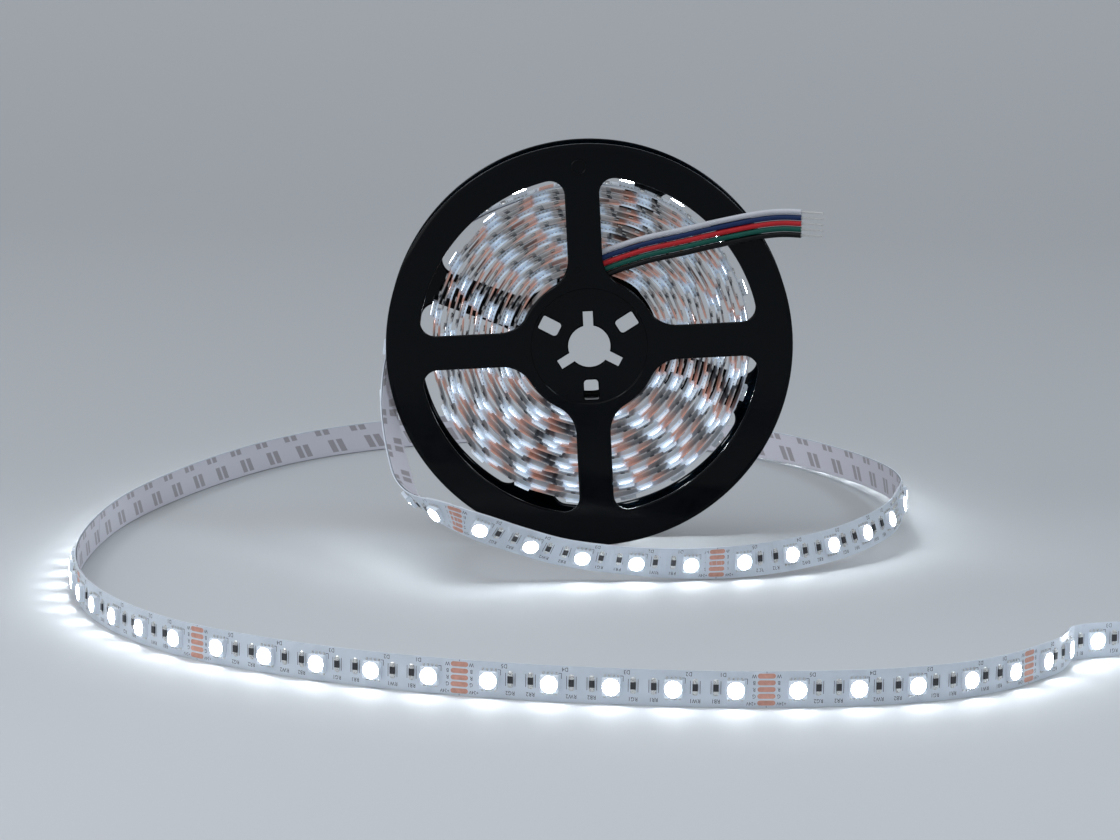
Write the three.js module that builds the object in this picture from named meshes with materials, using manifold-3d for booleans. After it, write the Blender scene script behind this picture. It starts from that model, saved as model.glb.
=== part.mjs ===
// LED strip light reel: a two-part moulded reel on its rim, a long strip wound on it whose free end
// loops over the floor on its edge, and a five-wire lead that leaves through a front window.
// Millimetres, +Z up. The reel's axis runs along Y, its front faces -Y and it stands on z = 0.
import * as THREE from 'three';
import { mergeVertices } from 'three/addons/utils/BufferGeometryUtils.js';
import Module from 'manifold-3d';

const wasm = await Module();
wasm.setup();

const TURN = 2 * Math.PI;
const degrees = THREE.MathUtils.degToRad;

// Clearances
const GAP = 0.3; // between pieces that touch on the real object
const LAP_GAP = 0.3; // between two strip sections at their soldered lap

// Reel: two moulded halves, each a spoked flange with half of the hub
const FLANGE_RADIUS = 63.5;
const FLANGE_THICKNESS = 1.5;
const FLANGE_CHAMFER = 0.4;
const ROUND_STEPS = 64;
const CUT_MARGIN = 1; // how far a cutting body stands out
const RIM_WIDTH = 10.2;
const SPOKE_WIDTH = 10.8;
const SPOKE_COUNT = 4;
const SPOKE_TURN = 3.7; // degrees that the front half stands turned
const REAR_SPOKE_TURN = -18.8; // degrees that the rear half stands turned
const WINDOW_OUTER_FILLET = 4.6;
const WINDOW_INNER_FILLET = 10;
const HUB_PLATE_RADIUS = 21.7;
const RECESS_RADIUS = 18.2;
const RECESS_DEPTH = 0.5;
const BORE_RADIUS = 6.6;
const KEY_WIDTH = 3.1;
const KEY_REACH = 11;
const KEY_COUNT = 3;
const LATCH_COUNT = 3;
const LATCH_WIDTH = 4.2;
const LATCH_INNER = 10.7;
const LATCH_OUTER = 16.9;
const LATCH_TURN = 60; // degrees from a key slot to the next latch window
const SLEEVE_RADIUS = 20.6;
const SLEEVE_WALL = 1.3;
const REAR_LIP = 1.2; // of the rear half's open hub, inside its sleeve

// Strip: flexible circuit on edge, with square lamp packages at a fixed pitch
const STRIP_WIDTH = 10;
const STRIP_THICKNESS = 0.4;
const LED_PITCH = 50 / 3;
const LED_SIZE = 5;
const LED_HEIGHT = 1.5;
const LED_SINK = 0.2; // how deep a package's body is joined into the strip
const SECTION_LEDS = 30;
const FREE_SECTIONS = 3;
const LINER_THICKNESS = 0.12;
const LINER_MARGIN = 0.25;

// Roll: the wound length, an even spiral that opens counter-clockwise seen from the front
const ROLL_CLEARANCE = 0.95; // between the hub sleeve and the strip
const TURN_PITCH = 1.8;
const ROLL_START = 116; // degrees, where the inner end lies
const ROLL_TURNS = 16;
const LEAVE_ANGLE = 115; // degrees, where the strip peels off the outermost turn
const NEST_CLEARANCE = 0.3; // between a wound lamp and the next turn

// Facets of the free strip
const ROUTE_DIVISIONS = 4000;
const ROUTE_STEP = 2.5;
const FACET_BEND = 6; // degrees
const FACET_LENGTH = 24;

// Lead: five round wires side by side
const WIRE_DIAMETER = 1.5;
const WIRE_SPACING = 1.8;
const WIRE_SIDES = 8;
const STRAND_DIAMETER = 0.8;
const STRAND_LENGTH = 6.5;
const WIRE_ROOM = WIRE_DIAMETER + 2 * 0.35; // between the front flange and the roll

// What follows from them
const STRIP_FRONT = FLANGE_THICKNESS + WIRE_ROOM;
const STRIP_MIDDLE = STRIP_FRONT + STRIP_WIDTH / 2;
const REAR_FACE = STRIP_FRONT + STRIP_WIDTH + 0.4;
const HALF_STRIP = STRIP_THICKNESS / 2;
const ROLL_INNER = SLEEVE_RADIUS + ROLL_CLEARANCE + HALF_STRIP;
const SECTION_LENGTH = SECTION_LEDS * LED_PITCH;
const FREE_LENGTH = FREE_SECTIONS * SECTION_LENGTH;

const plastic = new THREE.MeshStandardMaterial({ color: '#0d0f12', roughness: 0.32, metalness: 0 });
const circuit = new THREE.MeshStandardMaterial({ color: '#d5dbe4', roughness: 0.45, metalness: 0 });
const paper = new THREE.MeshStandardMaterial({ color: '#b4b2be', roughness: 0.6, metalness: 0 });
const tin = new THREE.MeshStandardMaterial({ color: '#b9bcc0', roughness: 0.35, metalness: 1 });

const group = new THREE.Group();

/** Adds a named sub-part to the model. */
function add(name, geometry, material) {
  const mesh = new THREE.Mesh(geometry, material);
  mesh.name = name;
  group.add(mesh);
}

/** Turns a closed geometry into a solid that can be joined and cut. */
function solid(geometry) {
  const bare = geometry.clone();
  bare.deleteAttribute('normal');
  bare.deleteAttribute('uv');
  const merged = mergeVertices(bare, 1e-4);
  return new wasm.Manifold(new wasm.Mesh({
    numProp: 3,
    vertProperties: new Float32Array(merged.attributes.position.array),
    triVerts: new Uint32Array(merged.index.array),
  }));
}

/** Turns a solid back into a geometry. */
function geometryOf(body) {
  const mesh = body.getMesh();
  const geometry = new THREE.BufferGeometry();
  geometry.setAttribute('position', new THREE.BufferAttribute(new Float32Array(mesh.vertProperties), 3));
  geometry.setIndex(new THREE.BufferAttribute(new Uint32Array(mesh.triVerts), 1));
  geometry.computeVertexNormals();
  return geometry;
}

/** Points of an arc, both ends included. */
function arc(x, y, radius, from, to, steps) {
  return Array.from({ length: steps + 1 }, (_, i) => {
    const angle = from + ((to - from) * i) / steps;
    return new THREE.Vector2(x + radius * Math.cos(angle), y + radius * Math.sin(angle));
  });
}

/** Turns flat points about the reel's axis. */
function turned(points, angle) {
  return points.map((point) => point.clone().rotateAround(new THREE.Vector2(), angle));
}

/** Outline of one window between two spokes, in the quarter where x and y are positive. */
function windowOutline() {
  const half = SPOKE_WIDTH / 2;
  const outer = FLANGE_RADIUS - RIM_WIDTH;
  const outerSide = half + WINDOW_OUTER_FILLET;
  const outerReach = Math.sqrt((outer - WINDOW_OUTER_FILLET) ** 2 - outerSide ** 2);
  const outerAngle = Math.atan2(outerReach, outerSide);
  const innerSide = half + WINDOW_INNER_FILLET;
  const innerReach = Math.sqrt((HUB_PLATE_RADIUS + WINDOW_INNER_FILLET) ** 2 - innerSide ** 2);
  const innerAngle = Math.atan2(innerSide, innerReach);
  return [
    ...arc(outerSide, outerReach, WINDOW_OUTER_FILLET, Math.PI, outerAngle, 3),
    ...arc(0, 0, outer, outerAngle, Math.PI / 2 - outerAngle, 9).slice(1, -1),
    ...arc(outerReach, outerSide, WINDOW_OUTER_FILLET, Math.PI / 2 - outerAngle, -Math.PI / 2, 3),
    ...arc(innerReach, innerSide, WINDOW_INNER_FILLET, -Math.PI / 2, innerAngle - Math.PI, 3),
    ...arc(0, 0, HUB_PLATE_RADIUS, innerAngle, Math.PI / 2 - innerAngle, 3).slice(1, -1),
    ...arc(innerSide, innerReach, WINDOW_INNER_FILLET, 1.5 * Math.PI - innerAngle, Math.PI, 3),
  ];
}

/** Outline of the arbor bore with its key slots, the first of them straight up. */
function boreOutline() {
  const half = KEY_WIDTH / 2;
  const halfAngle = Math.asin(half / BORE_RADIUS);
  return Array.from({ length: KEY_COUNT }, (_, i) => {
    const slot = [new THREE.Vector2(half, KEY_REACH), new THREE.Vector2(-half, KEY_REACH)];
    const toNext = arc(0, 0, BORE_RADIUS, Math.PI / 2 + halfAngle, Math.PI / 2 + TURN / KEY_COUNT - halfAngle, 5);
    return turned([...slot, ...toNext], (i * TURN) / KEY_COUNT);
  }).flat();
}

/** Outline of a latch window with rounded ends, on the x axis. */
function latchOutline() {
  const round = LATCH_WIDTH / 2;
  return [
    ...arc(LATCH_OUTER - round, 0, round, -Math.PI / 2, Math.PI / 2, 4),
    ...arc(LATCH_INNER + round, 0, round, Math.PI / 2, 1.5 * Math.PI, 4),
  ];
}

/** A round body about the Z axis, from a closed profile of radius and height. */
function turnedBody(profile) {
  const points = profile.map(([radius, height]) => new THREE.Vector2(radius, height));
  return new THREE.LatheGeometry(points, ROUND_STEPS).rotateX(Math.PI / 2);
}

/** A cut right through the flange. */
function cut(outline) {
  const depth = FLANGE_THICKNESS + 2 * CUT_MARGIN;
  const tool = new THREE.ExtrudeGeometry(new THREE.Shape(outline), { depth, bevelEnabled: false });
  return solid(tool.translate(0, 0, -CUT_MARGIN));
}

/** One half of the reel: spoked disc, hub recess and hub sleeve, outer face at z = FLANGE_THICKNESS. */
function reelHalf(spokeTurn, sleeveOuter, sleeveLength) {
  const face = FLANGE_RADIUS - FLANGE_CHAMFER;
  let half = solid(turnedBody([
    [0, 0], [face, 0], [FLANGE_RADIUS, FLANGE_CHAMFER], [FLANGE_RADIUS, FLANGE_THICKNESS - FLANGE_CHAMFER],
    [face, FLANGE_THICKNESS], [RECESS_RADIUS, FLANGE_THICKNESS],
    [RECESS_RADIUS, FLANGE_THICKNESS - RECESS_DEPTH], [0, FLANGE_THICKNESS - RECESS_DEPTH],
  ]));
  const sleeveInner = sleeveOuter - SLEEVE_WALL;
  half = half.add(solid(turnedBody([
    [sleeveInner, -sleeveLength], [sleeveOuter, -sleeveLength], [sleeveOuter, FLANGE_THICKNESS / 2],
    [sleeveInner, FLANGE_THICKNESS / 2], [sleeveInner, -sleeveLength],
  ])));
  for (let i = 0; i < SPOKE_COUNT; i += 1) {
    half = half.subtract(cut(turned(windowOutline(), spokeTurn + (i * TURN) / SPOKE_COUNT)));
  }
  return half;
}

const innerGap = REAR_FACE - FLANGE_THICKNESS;
const hubTurn = degrees(SPOKE_TURN);
let frontHalf = reelHalf(degrees(SPOKE_TURN), SLEEVE_RADIUS, innerGap - GAP);
frontHalf = frontHalf.subtract(cut(turned(boreOutline(), hubTurn)));
for (let i = 0; i < LATCH_COUNT; i += 1) {
  const angle = hubTurn + Math.PI / 2 + degrees(LATCH_TURN) + (i * TURN) / LATCH_COUNT;
  frontHalf = frontHalf.subtract(cut(turned(latchOutline(), angle)));
}
const front = geometryOf(frontHalf);
front.rotateX(Math.PI / 2).translate(0, FLANGE_THICKNESS, FLANGE_RADIUS);
add('front_flange', front, plastic);

const rearSleeve = SLEEVE_RADIUS - SLEEVE_WALL - GAP;
const openHub = arc(0, 0, rearSleeve - SLEEVE_WALL - REAR_LIP, 0, TURN, ROUND_STEPS).slice(0, -1);
const rear = geometryOf(reelHalf(-degrees(REAR_SPOKE_TURN), rearSleeve, innerGap - GAP).subtract(cut(openHub)));
rear.rotateX(Math.PI / 2).rotateZ(Math.PI).translate(0, REAR_FACE, FLANGE_RADIUS);
add('rear_flange', rear, plastic);

/** Radius of the spiral's middle line at an angle, in radians counted on from turn to turn. */
function spiralRadius(angle) {
  return ROLL_INNER + (TURN_PITCH * (angle - degrees(ROLL_START))) / TURN;
}

/** A station on the spiral: its place, the lamp side's direction and the front edge's direction. */
function spiralStation(angle) {
  const outward = new THREE.Vector3(Math.cos(angle), 0, Math.sin(angle));
  const place = outward.clone().multiplyScalar(spiralRadius(angle));
  return {
    at: angle,
    place: place.add(new THREE.Vector3(0, STRIP_MIDDLE, FLANGE_RADIUS)),
    lampSide: outward,
    edge: new THREE.Vector3(0, -1, 0),
  };
}

/** A closed band swept through stations, between two offsets on the lamp side. */
function band(stations, width, low, high) {
  const positions = [];
  const index = [];
  stations.forEach(({ place, lampSide, edge }) => {
    [[-1, low], [-1, high], [1, high], [1, low]].forEach(([side, offset]) => {
      const corner = place.clone().addScaledVector(edge, (side * width) / 2).addScaledVector(lampSide, offset);
      positions.push(corner.x, corner.y, corner.z);
    });
  });
  const quad = (a, b, c, d) => index.push(a, b, c, a, c, d);
  for (let i = 0; i + 1 < stations.length; i += 1) {
    const [a, b, c, d] = [0, 1, 2, 3].map((k) => 4 * i + k);
    quad(a, b, b + 4, a + 4);
    quad(b, c, c + 4, b + 4);
    quad(c, d, d + 4, c + 4);
    quad(a, a + 4, d + 4, d); // split as the far face is, so that bands laid together stay apart
  }
  const last = 4 * (stations.length - 1);
  quad(3, 2, 1, 0);
  quad(last, last + 1, last + 2, last + 3);
  const geometry = new THREE.BufferGeometry();
  geometry.setAttribute('position', new THREE.Float32BufferAttribute(positions, 3));
  geometry.setIndex(index);
  return geometry;
}

/** A square lamp package on the lamp side of a station. */
function lamp(station, height) {
  const depth = height + LED_SINK;
  const body = new THREE.BoxGeometry(LED_SIZE, LED_SIZE, depth);
  body.translate(0, 0, HALF_STRIP - LED_SINK + depth / 2);
  const along = new THREE.Vector3().crossVectors(station.edge, station.lampSide);
  const frame = new THREE.Matrix4().makeBasis(along, station.edge, station.lampSide);
  return body.applyMatrix4(frame.setPosition(station.place));
}

/** Joins lamp packages to a band of strip. */
function joined(stripBand, lamps) {
  const bodies = lamps.map((geometry) => solid(geometry));
  return geometryOf(bodies.reduce((whole, body) => whole.add(body), solid(stripBand)));
}

// Route of the free strip's middle line, chosen by hand from its outer end to the roll:
// x, y, z and then the direction of its upper edge. x counts from the reel's axis.
const FREE_ROUTE = [
  [182.5, -131, 5, 0, 0, 1],
  [166, -137.5, 5, 0, 0, 1],
  [150, -143, 5, 0, 0, 1],
  [142, -146, 5, 0, 0, 1],
  [136.5, -150, 5, 0, 0, 1],
  [134.2, -157, 5, 0, 0, 1],
  [131.5, -164.5, 5, 0, 0, 1],
  [126.2, -172.3, 5, 0, 0, 1],
  [116.3, -185.2, 5, 0, 0, 1],
  [103.8, -195.9, 5, 0, 0, 1],
  [89.4, -203.4, 5, 0, 0, 1],
  [74, -208.2, 5, 0, 0, 1],
  [41.7, -212.6, 5, 0, 0, 1],
  [8, -211.2, 5, 0, 0, 1],
  [-25.4, -206, 5, 0, 0, 1],
  [-57.3, -196.2, 5, 0, 0, 1],
  [-87.3, -181.2, 5, 0, 0, 1],
  [-113.7, -161.5, 5, 0, 0, 1],
  [-132.8, -136.2, 5, 0, 0, 1],
  [-146.4, -105, 5, 0, 0, 1],
  [-153, -70, 5, 0, 0, 1],
  [-153.7, -32, 5, 0, 0, 1],
  [-148.6, 14, 5, 0, 0, 1],
  [-138.8, 51.5, 5, 0, 0, 1],
  [-122, 95, 5, 0, 0, 1],
  [-104, 128, 5, 0, 0, 1],
  [-84, 152, 5, 0, 0, 1],
  [-58, 171, 5, 0, 0, 1],
  [-28, 183, 5, 0, 0, 1],
  [4, 185, 5, 0, 0, 1],
  [36, 173.5, 5.2, 0, 0, 1],
  [65, 148, 6, 0, 0, 1],
  [87, 109, 7.4, 0, 0, 1],
  [98, 70, 9.6, 0, 0, 1],
  [100.8, 42, 11.4, 0, 0, 1],
  [100.3, 21.1, 12.5, -0.11, 0, 0.99],
  [96.1, 3.1, 10.5, -0.21, 0.02, 0.98],
  [87.7, -12.8, 8.8, -0.25, 0.08, 0.96],
  [76.2, -26.5, 7.2, -0.22, 0.11, 0.97],
  [62.1, -37.8, 6.1, -0.13, 0.06, 0.99],
  [46, -46.2, 5.4, -0.01, -0.07, 1],
  [28.3, -50.8, 5.5, 0.1, -0.24, 0.97],
  [9.9, -53.3, 6.8, 0.21, -0.37, 0.91],
  [-7.9, -56.1, 9.6, 0.3, -0.42, 0.86],
  [-23.1, -60.4, 14.6, 0.3, -0.43, 0.85],
  [-34.5, -63.2, 18.9, 0.08, -0.45, 0.89],
  [-43.2, -56.8, 20.7, -0.24, -0.42, 0.87],
  [-50.7, -46.6, 21.4, -0.54, -0.4, 0.74],
  [-55.3, -34.8, 24.2, -0.68, -0.38, 0.62],
  [-58.3, -22, 29.4, -0.66, -0.45, 0.6],
  [-60.8, -9.5, 36.2, -0.58, -0.58, 0.57],
  [-62.6, 1.5, 44.7, -0.42, -0.78, 0.46],
  [-62.9, 7.3, 55.4, -0.22, -0.93, 0.28],
];
// The stretch that has left the roll but still hangs between the flanges: degrees and radius.
const PEELED = [[171, 60.8], [159, 58.3], [146, 55.8], [133, 53.3]];

/** Key points of the whole free route, with the last of them on the outermost turn. */
function routeKeys() {
  const hand = FREE_ROUTE.map(([x, y, z, ex, ey, ez]) => ({
    place: new THREE.Vector3(x, y, z),
    edge: new THREE.Vector3(ex, ey, ez).normalize(),
  }));
  const peeled = PEELED.map(([angle, radius]) => ({
    place: new THREE.Vector3(
      radius * Math.cos(degrees(angle)),
      STRIP_MIDDLE,
      FLANGE_RADIUS + radius * Math.sin(degrees(angle)),
    ),
    edge: new THREE.Vector3(0, -1, 0),
  }));
  const onRoll = [];
  const leave = degrees(LEAVE_ANGLE) + ROLL_TURNS * TURN;
  for (let back = 0; back <= 240; back += 12) {
    const { place, edge } = spiralStation(leave - degrees(back));
    onRoll.push({ place, edge });
  }
  return [...hand, ...peeled, ...onRoll];
}

const keys = routeKeys();
const routeCurve = new THREE.CatmullRomCurve3(keys.map((key) => key.place), false, 'centripetal');
const edgeCurve = new THREE.CatmullRomCurve3(keys.map((key) => key.edge), false, 'catmullrom');
routeCurve.arcLengthDivisions = ROUTE_DIVISIONS;
const routeLengths = routeCurve.getLengths();
const routeLength = routeLengths.at(-1);
const leaveKey = FREE_ROUTE.length + PEELED.length; // the key point where the strip leaves the roll
const leaveLength = routeLengths[Math.round((leaveKey / (keys.length - 1)) * ROUTE_DIVISIONS)];

/** A station on the free route at a length from its outer end. */
function routeStation(length) {
  const t = routeCurve.getUtoTmapping(length / routeLength);
  const place = routeCurve.getPoint(t);
  const tangent = routeCurve.getTangent(t);
  const edge = edgeCurve.getPoint(t);
  edge.addScaledVector(tangent, -edge.dot(tangent)).normalize();
  const lampSide = new THREE.Vector3().crossVectors(edge, tangent).normalize();
  return { at: length, place, edge, lampSide };
}

/** Stations between two lengths of the free route, closer together where the strip bends or twists. */
function stationsBetween(from, to) {
  const stations = [routeStation(from)];
  const count = Math.ceil((to - from) / ROUTE_STEP);
  for (let i = 1; i < count; i += 1) {
    const next = routeStation(from + ((to - from) * i) / count);
    const last = stations.at(-1);
    const bend = Math.max(next.edge.angleTo(last.edge), next.lampSide.angleTo(last.lampSide));
    if (bend > degrees(FACET_BEND) || next.at - last.at > FACET_LENGTH) stations.push(next);
  }
  stations.push(routeStation(to));
  return stations;
}

/** A station on the facets between stations, at a length or an angle that they are numbered by. */
function stationOn(stations, at) {
  const i = Math.max(1, stations.findIndex((station) => station.at >= at));
  const [a, b] = [stations[i - 1], stations[i]];
  const share = (at - a.at) / (b.at - a.at);
  const lampSide = a.lampSide.clone().lerp(b.lampSide, share).normalize();
  const edge = a.edge.clone().lerp(b.edge, share);
  edge.addScaledVector(lampSide, -edge.dot(lampSide)).normalize();
  return { place: a.place.clone().lerp(b.place, share), edge, lampSide };
}

for (let i = 0; i < FREE_SECTIONS; i += 1) {
  const from = i * SECTION_LENGTH + (i > 0 ? LAP_GAP / 2 : 0);
  const stations = stationsBetween(from, (i + 1) * SECTION_LENGTH - LAP_GAP / 2);
  const lamps = Array.from({ length: SECTION_LEDS }, (_, k) => (
    lamp(stationOn(stations, (i * SECTION_LEDS + k + 0.5) * LED_PITCH), LED_HEIGHT)
  ));
  add(`strip_section_${i + 1}`, joined(band(stations, STRIP_WIDTH, -HALF_STRIP, HALF_STRIP), lamps), circuit);

  // The release liner on its back ends where the strip comes to lie on the turn below
  const top = -HALF_STRIP - GAP;
  const covered = stations.filter((station) => station.at <= leaveLength);
  const liner = band(covered, STRIP_WIDTH - 2 * LINER_MARGIN, top - LINER_THICKNESS, top);
  liner.computeVertexNormals();
  add(`liner_${i + 1}`, liner, paper);
}

/** The wound length as one solid: a spiral band that lies flat under each of its lamps. */
function roll() {
  const end = routeCurve.getPoint(routeCurve.getUtoTmapping(FREE_LENGTH / routeLength));
  const first = degrees(ROLL_START);
  const leave = degrees(LEAVE_ANGLE) + ROLL_TURNS * TURN;
  let last = Math.atan2(end.z - FLANGE_RADIUS, end.x);
  while (last < leave - TURN) last += TURN;
  last -= LAP_GAP / spiralRadius(last);
  const outer = spiralRadius(last);
  const angleAt = (length) => {
    const radius = Math.sqrt(outer ** 2 - (length * TURN_PITCH) / Math.PI);
    return first + ((radius - ROLL_INNER) * TURN) / TURN_PITCH;
  };
  const stations = [spiralStation(last)];
  const facet = LED_PITCH / 2;
  for (let i = 0.5; angleAt(i * facet) > first; i += 1) stations.unshift(spiralStation(angleAt(i * facet)));
  stations.unshift(spiralStation(first));
  const height = TURN_PITCH - STRIP_THICKNESS - NEST_CLEARANCE;
  const lamps = [];
  for (let i = 0.5; angleAt((i + 0.5) * LED_PITCH) > first; i += 1) {
    lamps.push(lamp(stationOn(stations, angleAt(i * LED_PITCH)), height));
  }
  // Reversed, the stations run the same way as those of the free strip
  return joined(band(stations.reverse(), STRIP_WIDTH, -HALF_STRIP, HALF_STRIP), lamps);
}
add('strip_roll', roll(), circuit);

// Route of the lead's middle wire, chosen by hand from behind the top spoke to its stripped end
const LEAD_ROUTE = [
  [5.2, 2.6, 89.8],
  [10.5, 2.2, 91.8],
  [16, 1.2, 93.8],
  [22, -0.1, 95.5],
  [28, -1.1, 97],
  [34, -1.5, 98.6],
  [41, -1.6, 100.3],
  [48, -1.9, 101.9],
  [54.5, -2.8, 103.2],
  [60, -4, 103.8],
  [64.8, -5.4, 103.8],
];
const WIRE_NAMES = ['white', 'blue', 'red', 'green', 'black'];
const WIRE_COLOURS = ['#d9dadd', '#1b356f', '#b52a2e', '#0f5f50', '#101114'];
const CHANNEL_RADIUS = SLEEVE_RADIUS + GAP + WIRE_DIAMETER / 2; // where the lead lies on the hub sleeve
const CHANNEL_DEPTH = (STRIP_FRONT + FLANGE_THICKNESS) / 2; // between the front flange and the roll
const LEAD_START_X = ROLL_INNER * Math.cos(degrees(ROLL_START)) + GAP; // at the strip's inner end
const LEAD_TURN_X = -1.8; // where the middle wire turns to the front
const LEAD_TURN_SPACING = 2.6;
const LEAD_BEND = 1.5;
const LEAD_FAN = 0.36; // rise of a wire on leaving the hub gap, for its place in the row

/** Points that one wire of the lead follows, from the strip's inner end. */
function wireRoute(number) {
  const offset = ((WIRE_NAMES.length - 1) / 2 - number) * WIRE_SPACING;
  const padDepth = STRIP_MIDDLE - offset;
  const turnX = LEAD_TURN_X - (offset * LEAD_TURN_SPACING) / WIRE_SPACING;
  const inGap = (x, y, rise = 0) => (
    new THREE.Vector3(x, y, FLANGE_RADIUS + Math.sqrt(CHANNEL_RADIUS ** 2 - x ** 2) + rise)
  );
  const start = [
    inGap(LEAD_START_X, padDepth),
    inGap((LEAD_START_X + turnX - LEAD_BEND) / 2, padDepth),
    inGap(turnX - LEAD_BEND, padDepth),
    inGap(turnX - 0.3 * LEAD_BEND, padDepth - 0.3 * LEAD_BEND),
    inGap(turnX, (padDepth + CHANNEL_DEPTH) / 2),
    inGap(turnX + 0.1 * LEAD_BEND, CHANNEL_DEPTH + 0.3 * LEAD_BEND, 0.15 * LEAD_BEND),
    inGap(turnX + 0.4 * LEAD_BEND, CHANNEL_DEPTH, LEAD_BEND + LEAD_FAN * offset),
  ];
  const run = LEAD_ROUTE.map(([x, y, z], i) => {
    const [ax, , az] = LEAD_ROUTE[Math.max(i - 1, 0)];
    const [bx, , bz] = LEAD_ROUTE[Math.min(i + 1, LEAD_ROUTE.length - 1)];
    const along = new THREE.Vector2(bx - ax, bz - az).normalize();
    return new THREE.Vector3(x - along.y * offset, y, z + along.x * offset);
  });
  return [...start, ...run];
}

/** A curve whose facets follow its key points, so that tight bends get more of them. */
class KeyedCurve extends THREE.CatmullRomCurve3 {
  getPointAt(share) { return this.getPoint(share); }
  getTangentAt(share) { return this.getTangent(share); }
}

/** A round section with a few sides. */
function roundSection(diameter) {
  return new THREE.Shape(arc(0, 0, diameter / 2, 0, TURN, WIRE_SIDES).slice(0, -1));
}

WIRE_NAMES.forEach((name, i) => {
  const points = wireRoute(i);
  const path = new KeyedCurve(points, false, 'centripetal');
  const wire = new THREE.ExtrudeGeometry(roundSection(WIRE_DIAMETER), {
    steps: 2 * (points.length - 1), extrudePath: path, bevelEnabled: false,
  });
  const colour = new THREE.MeshStandardMaterial({ color: WIRE_COLOURS[i], roughness: 0.45, metalness: 0 });
  add(`${name}_wire`, wire, colour);

  const end = path.getPoint(1);
  const heading = path.getTangent(1);
  const strand = new THREE.CylinderGeometry(STRAND_DIAMETER / 2, STRAND_DIAMETER / 2, STRAND_LENGTH, WIRE_SIDES);
  strand.translate(0, STRAND_LENGTH / 2 + GAP, 0);
  strand.applyQuaternion(new THREE.Quaternion().setFromUnitVectors(new THREE.Vector3(0, 1, 0), heading));
  strand.translate(end.x, end.y, end.z);
  add(`${name}_wire_end`, strand, tin);
});

// The origin lies under the middle of the reel and its strip, on the floor
const box = new THREE.Box3();
group.children.filter((mesh) => !mesh.name.includes('wire')).forEach((mesh) => box.expandByObject(mesh));
const middle = box.getCenter(new THREE.Vector3());
group.position.set(-middle.x, -middle.y, -box.min.z);

export default group;
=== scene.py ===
"""Looks of the LED strip light reel: a moulded reel on its rim, its wound strip and the lit free end.

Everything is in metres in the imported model's frame. Sizes are written in millimetres in the reel's own
frame, where x counts from the reel's axis, y from the front flange's outer face and z from the floor,
and Frame.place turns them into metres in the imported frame.
"""

from __future__ import annotations

import logging
import math
from dataclasses import dataclass, field
from enum import Enum

import bmesh
import bpy
import numpy as np
from mathutils import Matrix, Vector
from mathutils.geometry import tessellate_polygon


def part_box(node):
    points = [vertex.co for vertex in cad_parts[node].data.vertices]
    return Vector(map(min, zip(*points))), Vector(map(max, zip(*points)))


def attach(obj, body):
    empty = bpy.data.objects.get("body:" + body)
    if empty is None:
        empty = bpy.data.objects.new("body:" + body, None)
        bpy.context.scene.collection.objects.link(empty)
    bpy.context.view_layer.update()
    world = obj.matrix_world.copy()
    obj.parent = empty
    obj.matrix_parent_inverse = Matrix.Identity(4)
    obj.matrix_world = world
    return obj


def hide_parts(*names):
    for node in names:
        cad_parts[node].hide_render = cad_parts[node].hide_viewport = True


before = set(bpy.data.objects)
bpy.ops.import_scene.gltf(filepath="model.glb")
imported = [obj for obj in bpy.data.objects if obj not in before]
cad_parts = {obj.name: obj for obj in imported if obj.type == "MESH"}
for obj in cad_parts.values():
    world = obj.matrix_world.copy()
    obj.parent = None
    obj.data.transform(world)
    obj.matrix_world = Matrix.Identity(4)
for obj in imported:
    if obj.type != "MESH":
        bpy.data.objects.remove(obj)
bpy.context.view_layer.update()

log = logging.getLogger("led_reel")
MM = 0.001
ROOT = "root"
UV_MAP = "strip"
SHARP_ANGLE = math.radians(35.0)

Colour = tuple[float, float, float]
Outline = list[tuple[float, float]]
Socket = bpy.types.NodeSocket
Material = bpy.types.Material
Piece = bpy.types.Object


class Slot(Enum):
    """Material slots of the record."""

    PLASTIC = "reel_plastic"
    CIRCUIT = "strip_circuit"
    LAMP = "lamp_body"
    GLOW = "lamp_glow"
    PAD = "copper_pad"
    CHIP = "chip_black"
    TIN = "chip_tin"
    PRINT = "silkscreen"
    LINER = "liner_paper"
    STRAND = "tinned_copper"


class Graph:
    """A node tree, with short ways to add to it."""

    def __init__(self, tree: bpy.types.NodeTree) -> None:
        """Takes the tree."""
        self.tree = tree

    def feed(self, node: bpy.types.Node, inputs: dict[str | int, object]) -> None:
        """Links the sockets among the inputs and sets the other values."""
        for name, value in inputs.items():
            if isinstance(value, Socket):
                self.tree.links.new(value, node.inputs[name])
            else:
                node.inputs[name].default_value = value

    def add(self, kind: str, inputs: dict[str | int, object], output: str, **settings: str) -> Socket:
        """Adds a node.

        Args:
            kind: Its type.
            inputs: Values or sockets for its inputs.
            output: Name of the output that is used.
            settings: Its own settings, which are set first.

        Returns:
            The output.
        """
        node = self.tree.nodes.new(kind)
        for name, value in settings.items():
            setattr(node, name, value)
        self.feed(node, inputs)
        return node.outputs[output]


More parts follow.
